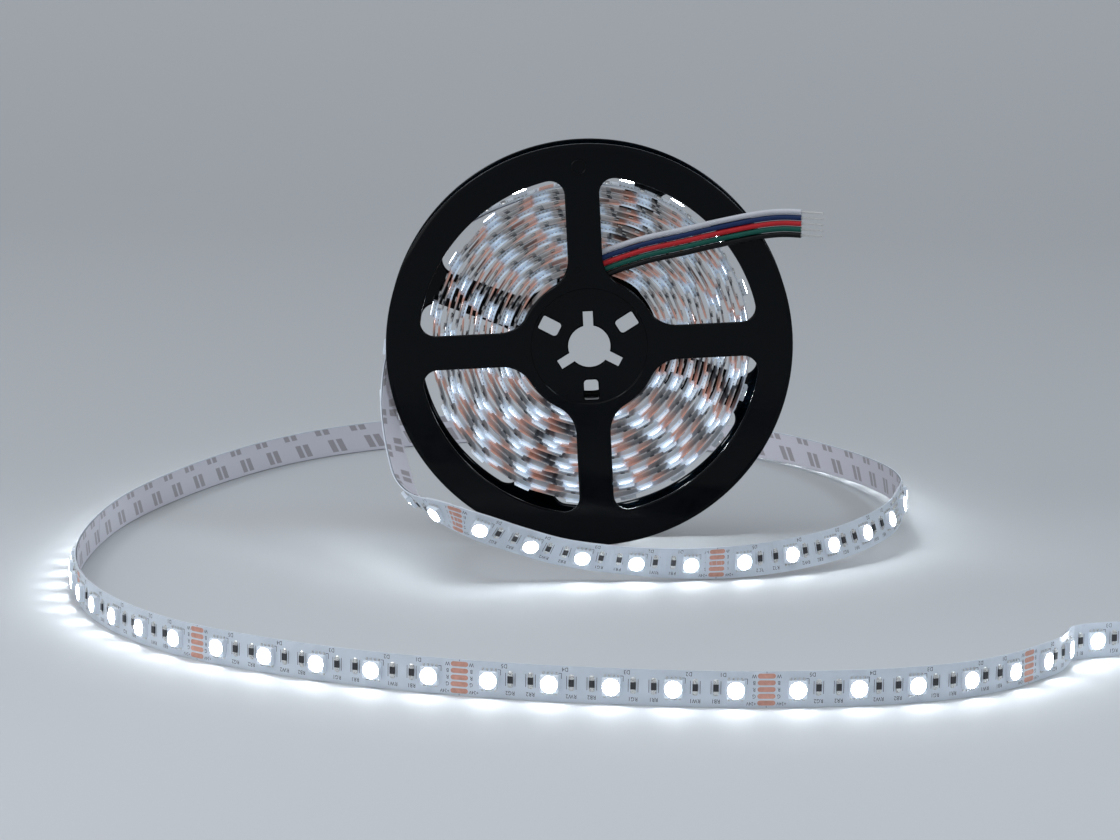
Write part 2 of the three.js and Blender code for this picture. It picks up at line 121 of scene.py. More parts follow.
class Surface(Graph):
    """A material with a Principled shader."""

    def __init__(self, name: str, inputs: dict[str | int, object]) -> None:
        """Makes the material and sets its shader's inputs."""
        self.material = bpy.data.materials.new(name)
        self.material.use_nodes = True
        super().__init__(self.material.node_tree)
        self.shader = self.tree.nodes["Principled BSDF"]
        self.place = self.add("ShaderNodeTexCoord", {}, "Object")
        self.feed(self.shader, inputs)

    def split(self, vector: Socket) -> bpy.types.NodeOutputs:
        """Splits a vector into the outputs X, Y and Z."""
        return self.add("ShaderNodeSeparateXYZ", {"Vector": vector}, "X").node.outputs

    def strip_place(self) -> bpy.types.NodeOutputs:
        """X along the strip and Y across it, in metres on the piece's own UV map."""
        return self.split(self.add("ShaderNodeUVMap", {}, "UV", uv_map=UV_MAP))

    def compute(self, operation: str, *values: object) -> Socket:
        """Adds a math node and returns its value."""
        return self.add("ShaderNodeMath", dict(enumerate(values)), "Value", operation=operation)

    def spread(self, value: Socket, limits: dict[str, float], **settings: str) -> Socket:
        """Adds a map range node and returns its result."""
        return self.add("ShaderNodeMapRange", {"Value": value, **limits}, "Result", **settings)

    def mix(self, factor: Socket, a: object, b: object) -> Socket:
        """Mixes two colours, each of them a value with its alpha or a socket."""
        return self.add("ShaderNodeMix", {"Factor": factor, "A": a, "B": b}, "Result", data_type="RGBA")

    def noise(self, scale: float, detail: float) -> Socket:
        """Adds a noise on Object coordinates."""
        inputs = {"Vector": self.place, "Scale": scale, "Detail": detail}
        return self.add("ShaderNodeTexNoise", inputs, "Fac")

    def bump(self, scale: float, detail: float, strength: float, distance: float) -> None:
        """Gives the shader a fine grain."""
        grain = {"Height": self.noise(scale, detail), "Strength": strength, "Distance": distance}
        self.feed(self.shader, {"Normal": self.add("ShaderNodeBump", grain, "Normal")})

    def ramp(self, factor: Socket, stops: list[tuple[float, Colour]]) -> Socket:
        """Adds a colour ramp and returns its colour."""
        colour = self.add("ShaderNodeValToRGB", {"Fac": factor}, "Color")
        elements = colour.node.color_ramp.elements
        for number, (position, shade) in enumerate(stops):
            stop = elements[number] if number < 2 else elements.new(position)
            stop.position = position
            stop.color = (*shade, 1.0)
        return colour


@dataclass(frozen=True)
class Finish:
    """A surface finish with fine colour mottling and a moulded or pressed grain."""

    name: str
    colour: Colour
    roughness: float
    metallic: float = 0.0
    mottle: float = 0.0
    mottle_scale: float = 300.0
    grain: float = 0.0
    grain_scale: float = 2500.0
    coat: float = 0.0
    specular: float = 0.5
    glow: float = 0.0
    glow_colour: Colour = (0.90, 0.96, 1.0)
    coat_roughness: float = 0.12
    unevenness: float = 0.07

    def build(self) -> Material:
        """Makes the material.

        Returns:
            The material, with its nodes on Object coordinates.
        """
        surface = Surface(self.name, {
            "Base Color": (*self.colour, 1.0), "Metallic": self.metallic, "Roughness": self.roughness,
            "Coat Weight": self.coat, "Coat Roughness": self.coat_roughness,
            "Specular IOR Level": self.specular, "Emission Color": (*self.glow_colour, 1.0),
            "Emission Strength": self.glow})
        if self.mottle:
            noise = surface.noise(self.mottle_scale, 5.0)
            shades = [(position, tuple(min(factor * c, 1.0) for c in self.colour))
                      for position, factor in ((0.3, 1.0 - self.mottle), (0.7, 1.0 + self.mottle))]
            uneven = {"To Min": max(self.roughness - self.unevenness, 0.02),
                      "To Max": min(self.roughness + self.unevenness, 1.0)}
            surface.feed(surface.shader, {"Base Color": surface.ramp(noise, shades),
                                          "Roughness": surface.spread(noise, uneven)})
        if self.grain:
            surface.bump(self.grain_scale, 3.0, 0.6, self.grain)
        return surface.material


@dataclass(frozen=True)
class PrintedLiner:
    """Release paper with staggered slanted dashes, each with a gap in it, on the UV map in metres."""

    paper: Colour = (0.66, 0.65, 0.72)
    ink: Colour = (0.24, 0.21, 0.22)
    strength: float = 0.70
    repeat: float = 0.0165
    rows: float = 0.0066
    row_margin: float = 0.16
    stagger: float = 0.5
    slant: float = 0.26
    dash: float = 0.40
    gap_place: float = 0.20
    half_gap: float = 0.035

    def build(self) -> Material:
        """Makes the material.

        Returns:
            The material of the liner's printed side.
        """
        surface = Surface("liner_print", {"Roughness": 0.5, "Coat Weight": 0.25, "Coat Roughness": 0.3})
        compute, where = surface.compute, surface.strip_place()
        lines = compute("DIVIDE", where["Y"], self.rows)
        across = compute("FRACT", lines)
        shifted = compute("ADD", compute("DIVIDE", where["X"], self.repeat),
                          compute("MULTIPLY", compute("FLOOR", lines), self.stagger))
        along = compute("FRACT", compute("ADD", shifted, compute("MULTIPLY", across, self.slant)))
        from_gap = compute("ABSOLUTE", compute("SUBTRACT", along, self.gap_place))
        ink = compute("LESS_THAN", along, self.dash)
        for test in (compute("GREATER_THAN", across, self.row_margin),
                     compute("LESS_THAN", across, 1.0 - self.row_margin),
                     compute("GREATER_THAN", from_gap, self.half_gap)):
            ink = compute("MULTIPLY", ink, test)
        printed = surface.mix(compute("MULTIPLY", ink, self.strength), (*self.paper, 1.0), (*self.ink, 1.0))
        surface.feed(surface.shader, {"Base Color": printed})
        surface.bump(900.0, 2.0, 0.25, 0.0001)
        return surface.material


@dataclass(frozen=True)
class PaintedWoundLook:
    """The wound strip seen between its turns, with painted light: a painted white glint and a painted
    pinkish-orange reflection by each lamp, and a thin band of painted shade in the gap between turns.

    The pattern is on the piece's own UV map in metres, once for each lamp pitch. A painted glow grows from
    the upper turns to the lower ones, standing in for the light that falls on the lower turns.
    """

    name: str
    base: Colour
    # Painted glow: its strength on the upper turns and on the lower ones, between these heights.
    glow: float = 0.13
    low_glow: float = 0.15
    high_z: float = 0.078
    low_z: float = 0.046
    # Colours of the painted white glint, the painted pinkish-orange reflection and the painted shade between
    # turns.
    painted_glint: Colour = (0.62, 0.71, 0.82)
    copper: Colour = (0.62, 0.34, 0.27)
    painted_gap_shade: Colour = (0.035, 0.04, 0.05)
    pitch: float = 50 / 3 * MM
    drift: float = 0.30

    def build(self) -> Material:
        """Makes the material.

        Returns:
            The material of the wound band, of its liner or of its lamps.
        """
        surface = Surface(self.name, {"Roughness": 0.3})
        share = surface.compute("DIVIDE", surface.strip_place()["X"], self.pitch)
        shifted = surface.compute("MULTIPLY_ADD", surface.noise(45.0, 1.0), self.drift, share)
        # Painted reflection fading into the base, and the peak of the painted glint.
        fading_painted_reflection = tuple(0.45 * c + 0.55 * b for c, b in zip(self.copper, self.base))
        painted_glint_peak = tuple(min(1.25 * g, 1.0) for g in self.painted_glint)
        # Each lamp pitch: base, painted pinkish-orange reflection, painted white glint, base, then a thin
        # band of painted shade in the gap between turns; the same colours also glow.
        colour = surface.ramp(surface.compute("FRACT", shifted), [
            (0.0, self.base), (0.12, self.base), (0.22, fading_painted_reflection), (0.34, self.copper), (0.43, self.copper),
            (0.52, self.painted_glint), (0.68, painted_glint_peak), (0.78, self.painted_glint), (0.84, self.base), (0.91, self.base),
            (0.93, self.painted_gap_shade), (0.97, self.painted_gap_shade)])
        # Painted glow, stronger on the lower turns than on the upper ones.
        limits = {"From Min": self.high_z, "From Max": self.low_z,
                  "To Min": self.glow, "To Max": self.low_glow}
        surface.feed(surface.shader, {
            "Base Color": colour, "Emission Color": colour,
            "Emission Strength": surface.spread(surface.split(surface.place)["Z"], limits)})
        return surface.material


@dataclass(frozen=True)
class Palette:
    """All finishes of the object."""

    plastic: Finish = Finish("reel_plastic", (0.0006, 0.0015, 0.0025), 0.11, mottle=0.12, mottle_scale=60.0,
                             grain=0.00001, grain_scale=900.0, specular=0.12)
    circuit: Finish = Finish("solder_mask", (0.60, 0.65, 0.72), 0.38, mottle=0.04, mottle_scale=220.0,
                             grain=0.00002, grain_scale=1500.0, coat=0.2)
    case: Finish = Finish("lamp_case", (0.70, 0.76, 0.84), 0.42, mottle=0.02, glow=0.06)
    window: Finish = Finish("lamp_window", (0.9, 0.95, 1.0), 0.2, glow=44.0)
    wound_window: Finish = Finish("wound_lamp_window", (0.9, 0.95, 1.0), 0.2, glow=5.0)
    pad: Finish = Finish("copper_pad", (0.58, 0.29, 0.22), 0.42, metallic=0.15, mottle=0.12,
                         mottle_scale=900.0)
    chip: Finish = Finish("chip_body", (0.022, 0.022, 0.026), 0.3, mottle=0.1, mottle_scale=2000.0)
    tin: Finish = Finish("chip_terminal", (0.62, 0.62, 0.61), 0.28, metallic=0.9, mottle=0.1,
                         mottle_scale=2500.0)
    ink: Finish = Finish("silkscreen_ink", (0.018, 0.02, 0.03), 0.6, mottle=0.05, specular=0.2)
    strand: Finish = Finish("tinned_strand", (0.66, 0.66, 0.65), 0.3, metallic=0.9, mottle=0.08,
                            mottle_scale=3000.0)


def insulation(name: str, colour: Colour, specular: float = 0.25, roughness: float = 0.42,
               mottle: float = 0.08) -> Finish:
    """The finish of one wire."""
    return Finish(f"{name}_insulation", colour, roughness, mottle=mottle, grain=0.00002, specular=specular)


WIRE_FINISHES: dict[str, Finish] = {
    "white": insulation("white", (0.47, 0.48, 0.52), specular=0.3, mottle=0.05),
    "blue": insulation("blue", (0.004, 0.020, 0.085)),
    "red": insulation("red", (0.44, 0.014, 0.020)),
    "green": insulation("green", (0.001, 0.075, 0.056)),
    "black": insulation("black", (0.001, 0.0015, 0.002), specular=0.2, roughness=0.36),
}


@dataclass(frozen=True)
class Frame:
    """The reel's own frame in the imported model's frame."""

    x: float
    y: float
    z: float

    @classmethod
    def of_reel(cls) -> "Frame":
        """Finds the frame from the front flange's box."""
        low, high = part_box("front_flange")
        return cls((low[0] + high[0]) / 2, low[1], low[2])

    def place(self, points: np.ndarray) -> np.ndarray:
        """Turns millimetres in the reel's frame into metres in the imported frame.

        Args:
            points: Rows of x, y, z.

        Returns:
            The rows in metres.
        """
        return np.asarray(points, float) * MM + np.array([self.x, self.y, self.z])


def mesh_object(name: str, points: np.ndarray, faces: list, material: Material,
                smooth: bool = False) -> Piece:
    """Makes a mesh object at the origin.

    Args:
        name: Name of the piece.
        points: Rows of x, y, z in metres.
        faces: Lists of vertex numbers.
        material: Its finish.
        smooth: Whether faces are shaded smooth, up to a sharp angle.

    Returns:
        The object, linked to the scene.
    """
    mesh = bpy.data.meshes.new(name)
    mesh.from_pydata([tuple(p) for p in points], [], [tuple(int(i) for i in face) for face in faces])
    mesh.materials.append(material)
    mesh.validate()
    piece = bpy.data.objects.new(name, mesh)
    bpy.context.scene.collection.objects.link(piece)
    if smooth:
        mesh.shade_smooth()
        mesh.set_sharp_from_angle(angle=SHARP_ANGLE)
    return piece


def outward(piece: Piece) -> None:
    """Makes the faces of a closed mesh point outwards.

    Args:
        piece: The mesh object.
    """
    work = bmesh.new()
    work.from_mesh(piece.data)
    bmesh.ops.remove_doubles(work, verts=work.verts, dist=1e-7)
    bmesh.ops.recalc_face_normals(work, faces=work.faces)
    work.to_mesh(piece.data)
    work.free()


def joined(name: str, pieces: list[Piece]) -> Piece:
    """Joins mesh objects into the first of them.

    Args:
        name: Name of the whole.
        pieces: The objects, each at the origin.

    Returns:
        The first object with all the others in it.
    """
    with bpy.context.temp_override(active_object=pieces[0], selected_editable_objects=pieces,
                                   selected_objects=pieces, object=pieces[0]):
        bpy.ops.object.join()
    pieces[0].name = name
    pieces[0].data.name = name
    return pieces[0]


def skin(rings: int, sides: int, first: int = 0) -> list[list[int]]:
    """Faces of a closed tube of rings that follow each other.

    Args:
        rings: Number of rings.
        sides: Points of each ring.
        first: Number of the first point.

    Returns:
        The sides, and then both ends.
    """
    faces = []
    for r in range(rings - 1):
        low, high = first + r * sides, first + (r + 1) * sides
        faces += [[low + k, low + (k + 1) % sides, high + (k + 1) % sides, high + k] for k in range(sides)]
    end = first + (rings - 1) * sides
    return faces + [[first + k for k in reversed(range(sides))], [end + k for k in range(sides)]]


def unit(rows: np.ndarray) -> np.ndarray:
    """Rows of length 1."""
    return rows / np.linalg.norm(rows, axis=1)[:, None]


def square_to(rows: np.ndarray, axes: np.ndarray) -> np.ndarray:
    """Rows of length 1 at right angles to the axes, which have length 1 too."""
    return unit(rows - axes * np.sum(rows * axes, axis=1)[:, None])


def catmull_rom(points: np.ndarray, t: np.ndarray, centripetal: bool = True) -> np.ndarray:
    """Points of a Catmull-Rom curve through key points.

    Args:
        points: Rows of key points.
        t: Places on the curve, from 0 at its first key point to the number of its last one.
        centripetal: Whether knots are spaced by the root of the distance, or evenly.

    Returns:
        One row for each place.
    """
    keys = np.vstack([2 * points[0] - points[1], points, 2 * points[-1] - points[-2]])
    i = np.clip(np.floor(t).astype(int), 0, len(points) - 2)
    w = (t - i)[:, None]
    p0, p1, p2, p3 = (keys[i + k] for k in range(4))
    if centripetal:
        d0, d1, d2 = (np.sqrt(np.linalg.norm(b - a, axis=1))[:, None]
                      for a, b in ((p0, p1), (p1, p2), (p2, p3)))
        t1 = ((p1 - p0) / d0 - (p2 - p0) / (d0 + d1) + (p2 - p1) / d1) * d1
        t2 = ((p2 - p1) / d1 - (p3 - p1) / (d1 + d2) + (p3 - p2) / d2) * d1
    else:
        t1, t2 = (p2 - p0) / 2, (p3 - p1) / 2
    c2 = 3 * (p2 - p1) - 2 * t1 - t2
    c3 = 2 * (p1 - p2) + t1 + t2
    return p1 + t1 * w + c2 * w**2 + c3 * w**3


@dataclass(frozen=True)
class Stations:
    """Places along the strip's middle line with its upper edge and lamp side, by length in millimetres."""

    at: np.ndarray
    middle: np.ndarray
    edge: np.ndarray
    side: np.ndarray

    def sample(self, at: np.ndarray) -> tuple[np.ndarray, np.ndarray, np.ndarray, np.ndarray]:
        """Looks places up.

        Args:
            at: Lengths along the strip.

        Returns:
            Middle, direction back along the strip, edge direction and lamp side, one row for each length.
        """
        def column(values: np.ndarray) -> np.ndarray:
            """Interpolates the three columns of an array."""
            return np.stack([np.interp(at, self.at, values[:, k]) for k in range(3)], axis=1)

        side = unit(column(self.side))
        edge = square_to(column(self.edge), side)
        return column(self.middle), np.cross(edge, side), edge, side


@dataclass(frozen=True)
class Strip:
    """Sizes that the free strip and the roll share."""

    width: float = 10.0
    thickness: float = 0.4
    pitch: float = 50 / 3
    group: int = 5
    section: int = 30
    sections: int = 3
    lamp_size: float = 5.0
    lamp_height: float = 1.5
    liner_gap: float = 0.3
    liner: float = 0.12
    liner_margin: float = 0.25


@dataclass(frozen=True)
class Roll:
    """The wound spiral, which opens counter-clockwise seen from the front."""

    turn_pitch: float = 1.8
    inner: float = 21.75
    start: float = 116.0
    turns: int = 16
    leave: float = 115.0
    nest: float = 0.3
    lap: float = 0.3
    middle: float = 8.7
    axis: float = 63.5

    def radius(self, angle: np.ndarray | float) -> np.ndarray | float:
        """Radius of the middle line at an angle in radians, counted on from turn to turn."""
        return self.inner + self.turn_pitch * (angle - math.radians(self.start)) / math.tau

    def leave_angle(self) -> float:
        """Angle at which the strip peels off, in radians."""
        return math.radians(self.leave) + self.turns * math.tau

    def points(self, angle: np.ndarray) -> np.ndarray:
        """Middle line in the reel's frame at angles in radians."""
        radius = self.radius(angle)
        depth = np.full_like(angle, self.middle)
        return np.stack([radius * np.cos(angle), depth, self.axis + radius * np.sin(angle)], axis=1)

    def angle_at(self, length: np.ndarray, last: float) -> np.ndarray:
        """Angles at lengths counted inwards from the roll's outer end.

        Args:
            length: Lengths in millimetres.
            last: Angle of the outer end.

        Returns:
            Angles in radians.
        """
        radius = np.sqrt(np.maximum(self.radius(last) ** 2 - length * self.turn_pitch / math.pi, 1.0))
        return math.radians(self.start) + (radius - self.inner) * math.tau / self.turn_pitch


# Route of the free strip's middle line, listed from its outer end to the roll, in millimetres in
# the reel's frame: first x and y where the strip stands on its edge on the floor, and then x, y, z and
# the direction of its upper edge.
FLOOR_ROUTE = [
    (182.5, -131), (166, -137.5), (150, -143), (142, -146), (136.5, -150), (134.2, -157),
    (131.5, -164.5), (126.2, -172.3), (116.3, -185.2), (103.8, -195.9), (89.4, -203.4), (74, -208.2),
    (41.7, -212.6), (8, -211.2), (-25.4, -206), (-57.3, -196.2), (-87.3, -181.2), (-113.7, -161.5),
    (-132.8, -136.2), (-146.4, -105), (-153, -70), (-153.7, -32), (-148.6, 14), (-138.8, 51.5),
    (-122, 95), (-104, 128), (-84, 152), (-58, 171), (-28, 183), (4, 185),
]
RISING_ROUTE = [
    (36, 173.5, 5.2, 0, 0, 1), (65, 148, 6, 0, 0, 1), (87, 109, 7.4, 0, 0, 1), (98, 70, 9.6, 0, 0, 1),
    (100.8, 42, 11.4, 0, 0, 1), (100.3, 21.1, 12.5, -0.11, 0, 0.99),
    (96.1, 3.1, 10.5, -0.21, 0.02, 0.98), (87.7, -12.8, 8.8, -0.25, 0.08, 0.96),
    (76.2, -26.5, 7.2, -0.22, 0.11, 0.97), (62.1, -37.8, 6.1, -0.13, 0.06, 0.99),
    (46, -46.2, 5.4, -0.01, -0.07, 1), (28.3, -50.8, 5.5, 0.1, -0.24, 0.97),
    (9.9, -53.3, 6.8, 0.21, -0.37, 0.91), (-7.9, -56.1, 9.6, 0.3, -0.42, 0.86),
    (-23.1, -60.4, 14.6, 0.3, -0.43, 0.85), (-34.5, -63.2, 18.9, 0.08, -0.45, 0.89),
    (-43.2, -56.8, 20.7, -0.24, -0.42, 0.87), (-50.7, -46.6, 21.4, -0.54, -0.4, 0.74),
    (-55.3, -34.8, 24.2, -0.68, -0.38, 0.62), (-58.3, -22, 29.4, -0.66, -0.45, 0.6),
    (-60.8, -9.5, 36.2, -0.58, -0.58, 0.57), (-62.6, 1.5, 44.7, -0.42, -0.78, 0.46),
    (-62.9, 7.3, 55.4, -0.22, -0.93, 0.28),
]
# The stretch that has left the roll but still hangs between the flanges: degrees and radius.
PEELED = [(171, 60.8), (159, 58.3), (146, 55.8), (133, 53.3)]
ROUTE_STEP = 0.5
CURVE_SAMPLES = 12001


def free_stations(roll: Roll, half_width: float) -> tuple[Stations, float]:
    """Stations of the whole free route, from the strip's outer end on to its outermost turn.

    Args:
        roll: The spiral that the route runs onto.
        half_width: Height of the middle line where the strip stands on the floor.

    Returns:
        The stations, and the length at which the strip comes to lie on the roll.
    """
    route = [(x, y, half_width, 0, 0, 1) for x, y in FLOOR_ROUTE] + RISING_ROUTE
    places = [np.array(key[:3], float) for key in route]
    edges = [np.array(key[3:], float) / np.linalg.norm(key[3:]) for key in route]
    for angle, radius in PEELED:
        turn = math.radians(angle)
        places.append(np.array([radius * math.cos(turn), roll.middle, roll.axis + radius * math.sin(turn)]))
        edges.append(np.array([0.0, -1.0, 0.0]))
    leave_key = len(places)
    on_roll = roll.leave_angle() - np.radians(np.arange(0, 241, 12))
    places.extend(roll.points(on_roll))
    edges.extend([np.array([0.0, -1.0, 0.0])] * len(on_roll))
    keys, turns = np.array(places), np.array(edges)
    t = np.linspace(0, len(keys) - 1, CURVE_SAMPLES)
    line = catmull_rom(keys, t)
    lengths = np.concatenate([[0.0], np.cumsum(np.linalg.norm(np.diff(line, axis=0), axis=1))])
    at = np.arange(0.0, lengths[-1], ROUTE_STEP)
    share = np.interp(at, lengths, t)
    middle = catmull_rom(keys, share)
    edge = catmull_rom(turns, share, centripetal=False)
    tangent = unit(np.gradient(middle, axis=0))
    edge = square_to(edge, tangent)
    return Stations(at, middle, edge, np.cross(edge, tangent)), float(np.interp(leave_key, t, lengths))


def roll_stations(roll: Roll, last: float, length: float) -> Stations:
    """Stations of the wound strip, with lengths counted inwards from its outer end.

    Args:
        roll: The spiral.
        last: Angle of the outer end.
        length: Wound length.

    Returns:
        The stations.
    """
    at = np.arange(0.0, length, ROUTE_STEP)
    angle = roll.angle_at(at, last)
    middle = roll.points(angle)
    outwards = np.stack([np.cos(angle), np.zeros_like(angle), np.sin(angle)], axis=1)
    edge = np.tile([0.0, -1.0, 0.0], (len(at), 1))
    return Stations(at, middle, edge, outwards)


def band(stations: Stations, at: np.ndarray, width: float, low: float,
         high: float) -> tuple[np.ndarray, list]:
    """A closed band swept along the strip.

    Args:
        stations: Where the strip runs.
        at: Lengths of the band's sections.
        width: Its width.
        low: Offset of its back on the lamp side.
        high: Offset of its front.

    Returns:
        Points in millimetres and faces.
    """
    middle, _, edge, side = stations.sample(at)
    corners = [(-1, low), (-1, high), (1, high), (1, low)]
    rings = np.stack([middle + edge * (s * width / 2) + side * offset for s, offset in corners], axis=1)
    return rings.reshape(-1, 3), skin(len(at), len(corners))


def strip_uv(piece: Piece, at: np.ndarray, width: float) -> None:
    """Gives a band a UV map in metres, along and across the strip.

    Args:
        piece: A mesh made from a band, four points for each section.
        at: Lengths of the sections.
        width: The band's width.
    """
    layer = piece.data.uv_layers.new(name=UV_MAP)
    for loop in piece.data.loops:
        section, corner = divmod(loop.vertex_index, 4)
        across = 0.0 if corner in (0, 1) else width
        layer.data[loop.index].uv = (at[section] * MM, across * MM)


class FlatArt:
    """Small flat or raised shapes laid out on one flat group of strip.

    x runs back towards the strip's outer end from the group's cut line, y towards the upper edge and
    z out of the lamp side, all in millimetres.
    """

    capital_share = 0.70
    narrowing = 0.86

    def __init__(self) -> None:
        """Starts an empty layout."""
        self.points: list[tuple[float, float, float]] = []
        self.faces: list[list[int]] = []

    def add(self, points: list, faces: list) -> None:
        """Adds points and the faces between them."""
        base = len(self.points)
        self.points += [tuple(p) for p in points]
        self.faces += [[base + i for i in face] for face in faces]

    def plate(self, outline: Outline, low: float, high: float, inset: float = 0.0) -> None:
        """Adds a raised plate.

        Args:
            outline: Its corners, counter-clockwise.
            low: Height of its foot.
            high: Height of its face.
            inset: How far its face is drawn in, for a soft edge.
        """
        n = len(outline)
        cx, cy = (sum(p[k] for p in outline) / n for k in range(2))
        reach = max(math.hypot(x - cx, y - cy) for x, y in outline)
        shrink = 1.0 - inset / reach
        foot = [(x, y, low) for x, y in outline]
        top = [(cx + (x - cx) * shrink, cy + (y - cy) * shrink, high) for x, y in outline]
        self.add(foot + top, skin(2, n))

    def box(self, x: float, y: float, width: float, height: float, low: float, high: float,
            inset: float = 0.0) -> None:
        """Adds a rectangular plate about its centre."""
        w, h = width / 2, height / 2
        self.plate([(x - w, y - h), (x + w, y - h), (x + w, y + h), (x - w, y + h)], low, high, inset)

    def stadium(self, x: float, y: float, width: float, height: float, low: float, high: float,
                inset: float = 0.0) -> None:
        """Adds a plate with round ends, long in x, in columns so that it bends with the strip."""
        round_end = height / 2
        reach = width / 2 - round_end
        ends = [(reach + round_end * math.sin(a), round_end * math.cos(a))
                for a in np.radians([0, 30, 60, 80])]
        inner = [(reach * k / 4, round_end) for k in range(-3, 4)]
        columns = [(-a, b) for a, b in reversed(ends)] + inner + ends
        along, across = 1 - inset / width * 2, 1 - inset / round_end
        corners = ((-1, 1, 1, low), (1, 1, 1, low), (1, along, across, high), (-1, along, across, high))
        self.add([(x + a * shrink_x, y + side * b * shrink_y, z)
                  for a, b in columns for side, shrink_x, shrink_y, z in corners],
                 skin(len(columns), len(corners)))

    def text(self, words: str, x: float, y: float, height: float, low: float) -> None:
        """Adds a printed word, upside down as the print runs on the strip.

        Args:
            words: What it says.
            x: Centre of the word.
            y: Centre of the word.
            height: Height of its capitals.
            low: Height of the printed layer.
        """
        curve = bpy.data.curves.new("mark", "FONT")
        curve.body = words
        curve.size = height / self.capital_share
        curve.resolution_u = 2
        curve.align_x = "CENTER"
        curve.align_y = "CENTER"
        curve.space_character = 1.05
        source = bpy.data.objects.new("mark", curve)
        mesh = source.to_mesh()
        self.add([(x - p.co.x * self.narrowing, y - p.co.y, low) for p in mesh.vertices],
                 [list(face.vertices) for face in mesh.polygons])
        source.to_mesh_clear()
        bpy.data.objects.remove(source)
        bpy.data.curves.remove(curve)

    def along(self, stations: Stations, starts: list[float]) -> tuple[np.ndarray, list]:
        """Lays copies of the layout along the strip, bent with it.

        Args:
            stations: Where the strip runs.
            starts: Length of each copy's cut line.

        Returns:
            Points in millimetres and faces.
        """
        flat = np.array(self.points, float)
        rows, faces = [], []
        for n, start in enumerate(starts):
            middle, _, edge, side = stations.sample(start - flat[:, 0])
            rows.append(middle + edge * flat[:, 1:2] + side * flat[:, 2:3])
            faces += [[i + n * len(flat) for i in face] for face in self.faces]
        return np.vstack(rows), faces

    def template(self, name: str, material: Material) -> Piece:
        """The layout as one object in metres, for instances."""
        return mesh_object(name, np.array(self.points) * MM, self.faces, material)


class StationTree:
    """Geometry Nodes that set one template on every station, turned with the strip."""

    def __init__(self) -> None:
        """Builds the node tree."""
        tree = bpy.data.node_groups.new("template_on_stations", "GeometryNodeTree")
        face = tree.interface
        face.new_socket("Geometry", in_out="INPUT", socket_type="NodeSocketGeometry")
        self.inputs = {name: face.new_socket(name, in_out="INPUT", socket_type=kind).identifier
                       for name, kind in (("Template", "NodeSocketObject"), ("Finish", "NodeSocketMaterial"))}
        face.new_socket("Geometry", in_out="OUTPUT", socket_type="NodeSocketGeometry")
        graph = Graph(tree)
        source = tree.nodes.new("NodeGroupInput").outputs
        side, edge = (graph.add("GeometryNodeInputNamedAttribute", {"Name": name}, "Attribute",
                                data_type="FLOAT_VECTOR") for name in ("lamp_side", "upper_edge"))
        rotation = graph.add("FunctionNodeAxesToRotation", {"Primary Axis": side, "Secondary Axis": edge},
                             "Rotation", primary_axis="Z", secondary_axis="Y")
        shape = graph.add("GeometryNodeObjectInfo", {"Object": source["Template"]}, "Geometry")
        copies = graph.add("GeometryNodeInstanceOnPoints", {
            "Points": source["Geometry"], "Instance": shape, "Rotation": rotation}, "Instances")
        real = graph.add("GeometryNodeRealizeInstances", {"Geometry": copies}, "Geometry")
        dressed = graph.add("GeometryNodeSetMaterial", {"Geometry": real, "Material": source["Finish"]},
                            "Geometry")
        graph.feed(tree.nodes.new("NodeGroupOutput"), {"Geometry": dressed})
        self.tree = tree

    def lay(self, name: str, template: Piece, at: np.ndarray, stations: Stations, place: Frame,
            material: Material) -> Piece:
        """Sets a template on stations and makes the result a plain mesh.

        Args:
            name: Name of the piece.
            template: Object to repeat, in metres about a station.
            at: Lengths along the strip.
            stations: Where the strip runs.
            place: The reel's frame.
            material: Finish of the result.

        Returns:
            One mesh object at the origin.
        """
        middle, _, edge, side = stations.sample(at)
        carrier = mesh_object(name + "_points", place.place(middle), [], material)
        for label, values in (("lamp_side", side), ("upper_edge", edge)):
            layer = carrier.data.attributes.new(label, "FLOAT_VECTOR", "POINT")
            layer.data.foreach_set("vector", values.ravel())
        modifier = carrier.modifiers.new("stations", "NODES")
        modifier.node_group = self.tree
        modifier[self.inputs["Template"]] = template
        modifier[self.inputs["Finish"]] = material
        depsgraph = bpy.context.evaluated_depsgraph_get()
        mesh = bpy.data.meshes.new_from_object(carrier.evaluated_get(depsgraph), depsgraph=depsgraph)
        bpy.data.objects.remove(carrier)
        mesh.name = name
        piece = bpy.data.objects.new(name, mesh)
        bpy.context.scene.collection.objects.link(piece)
        return piece


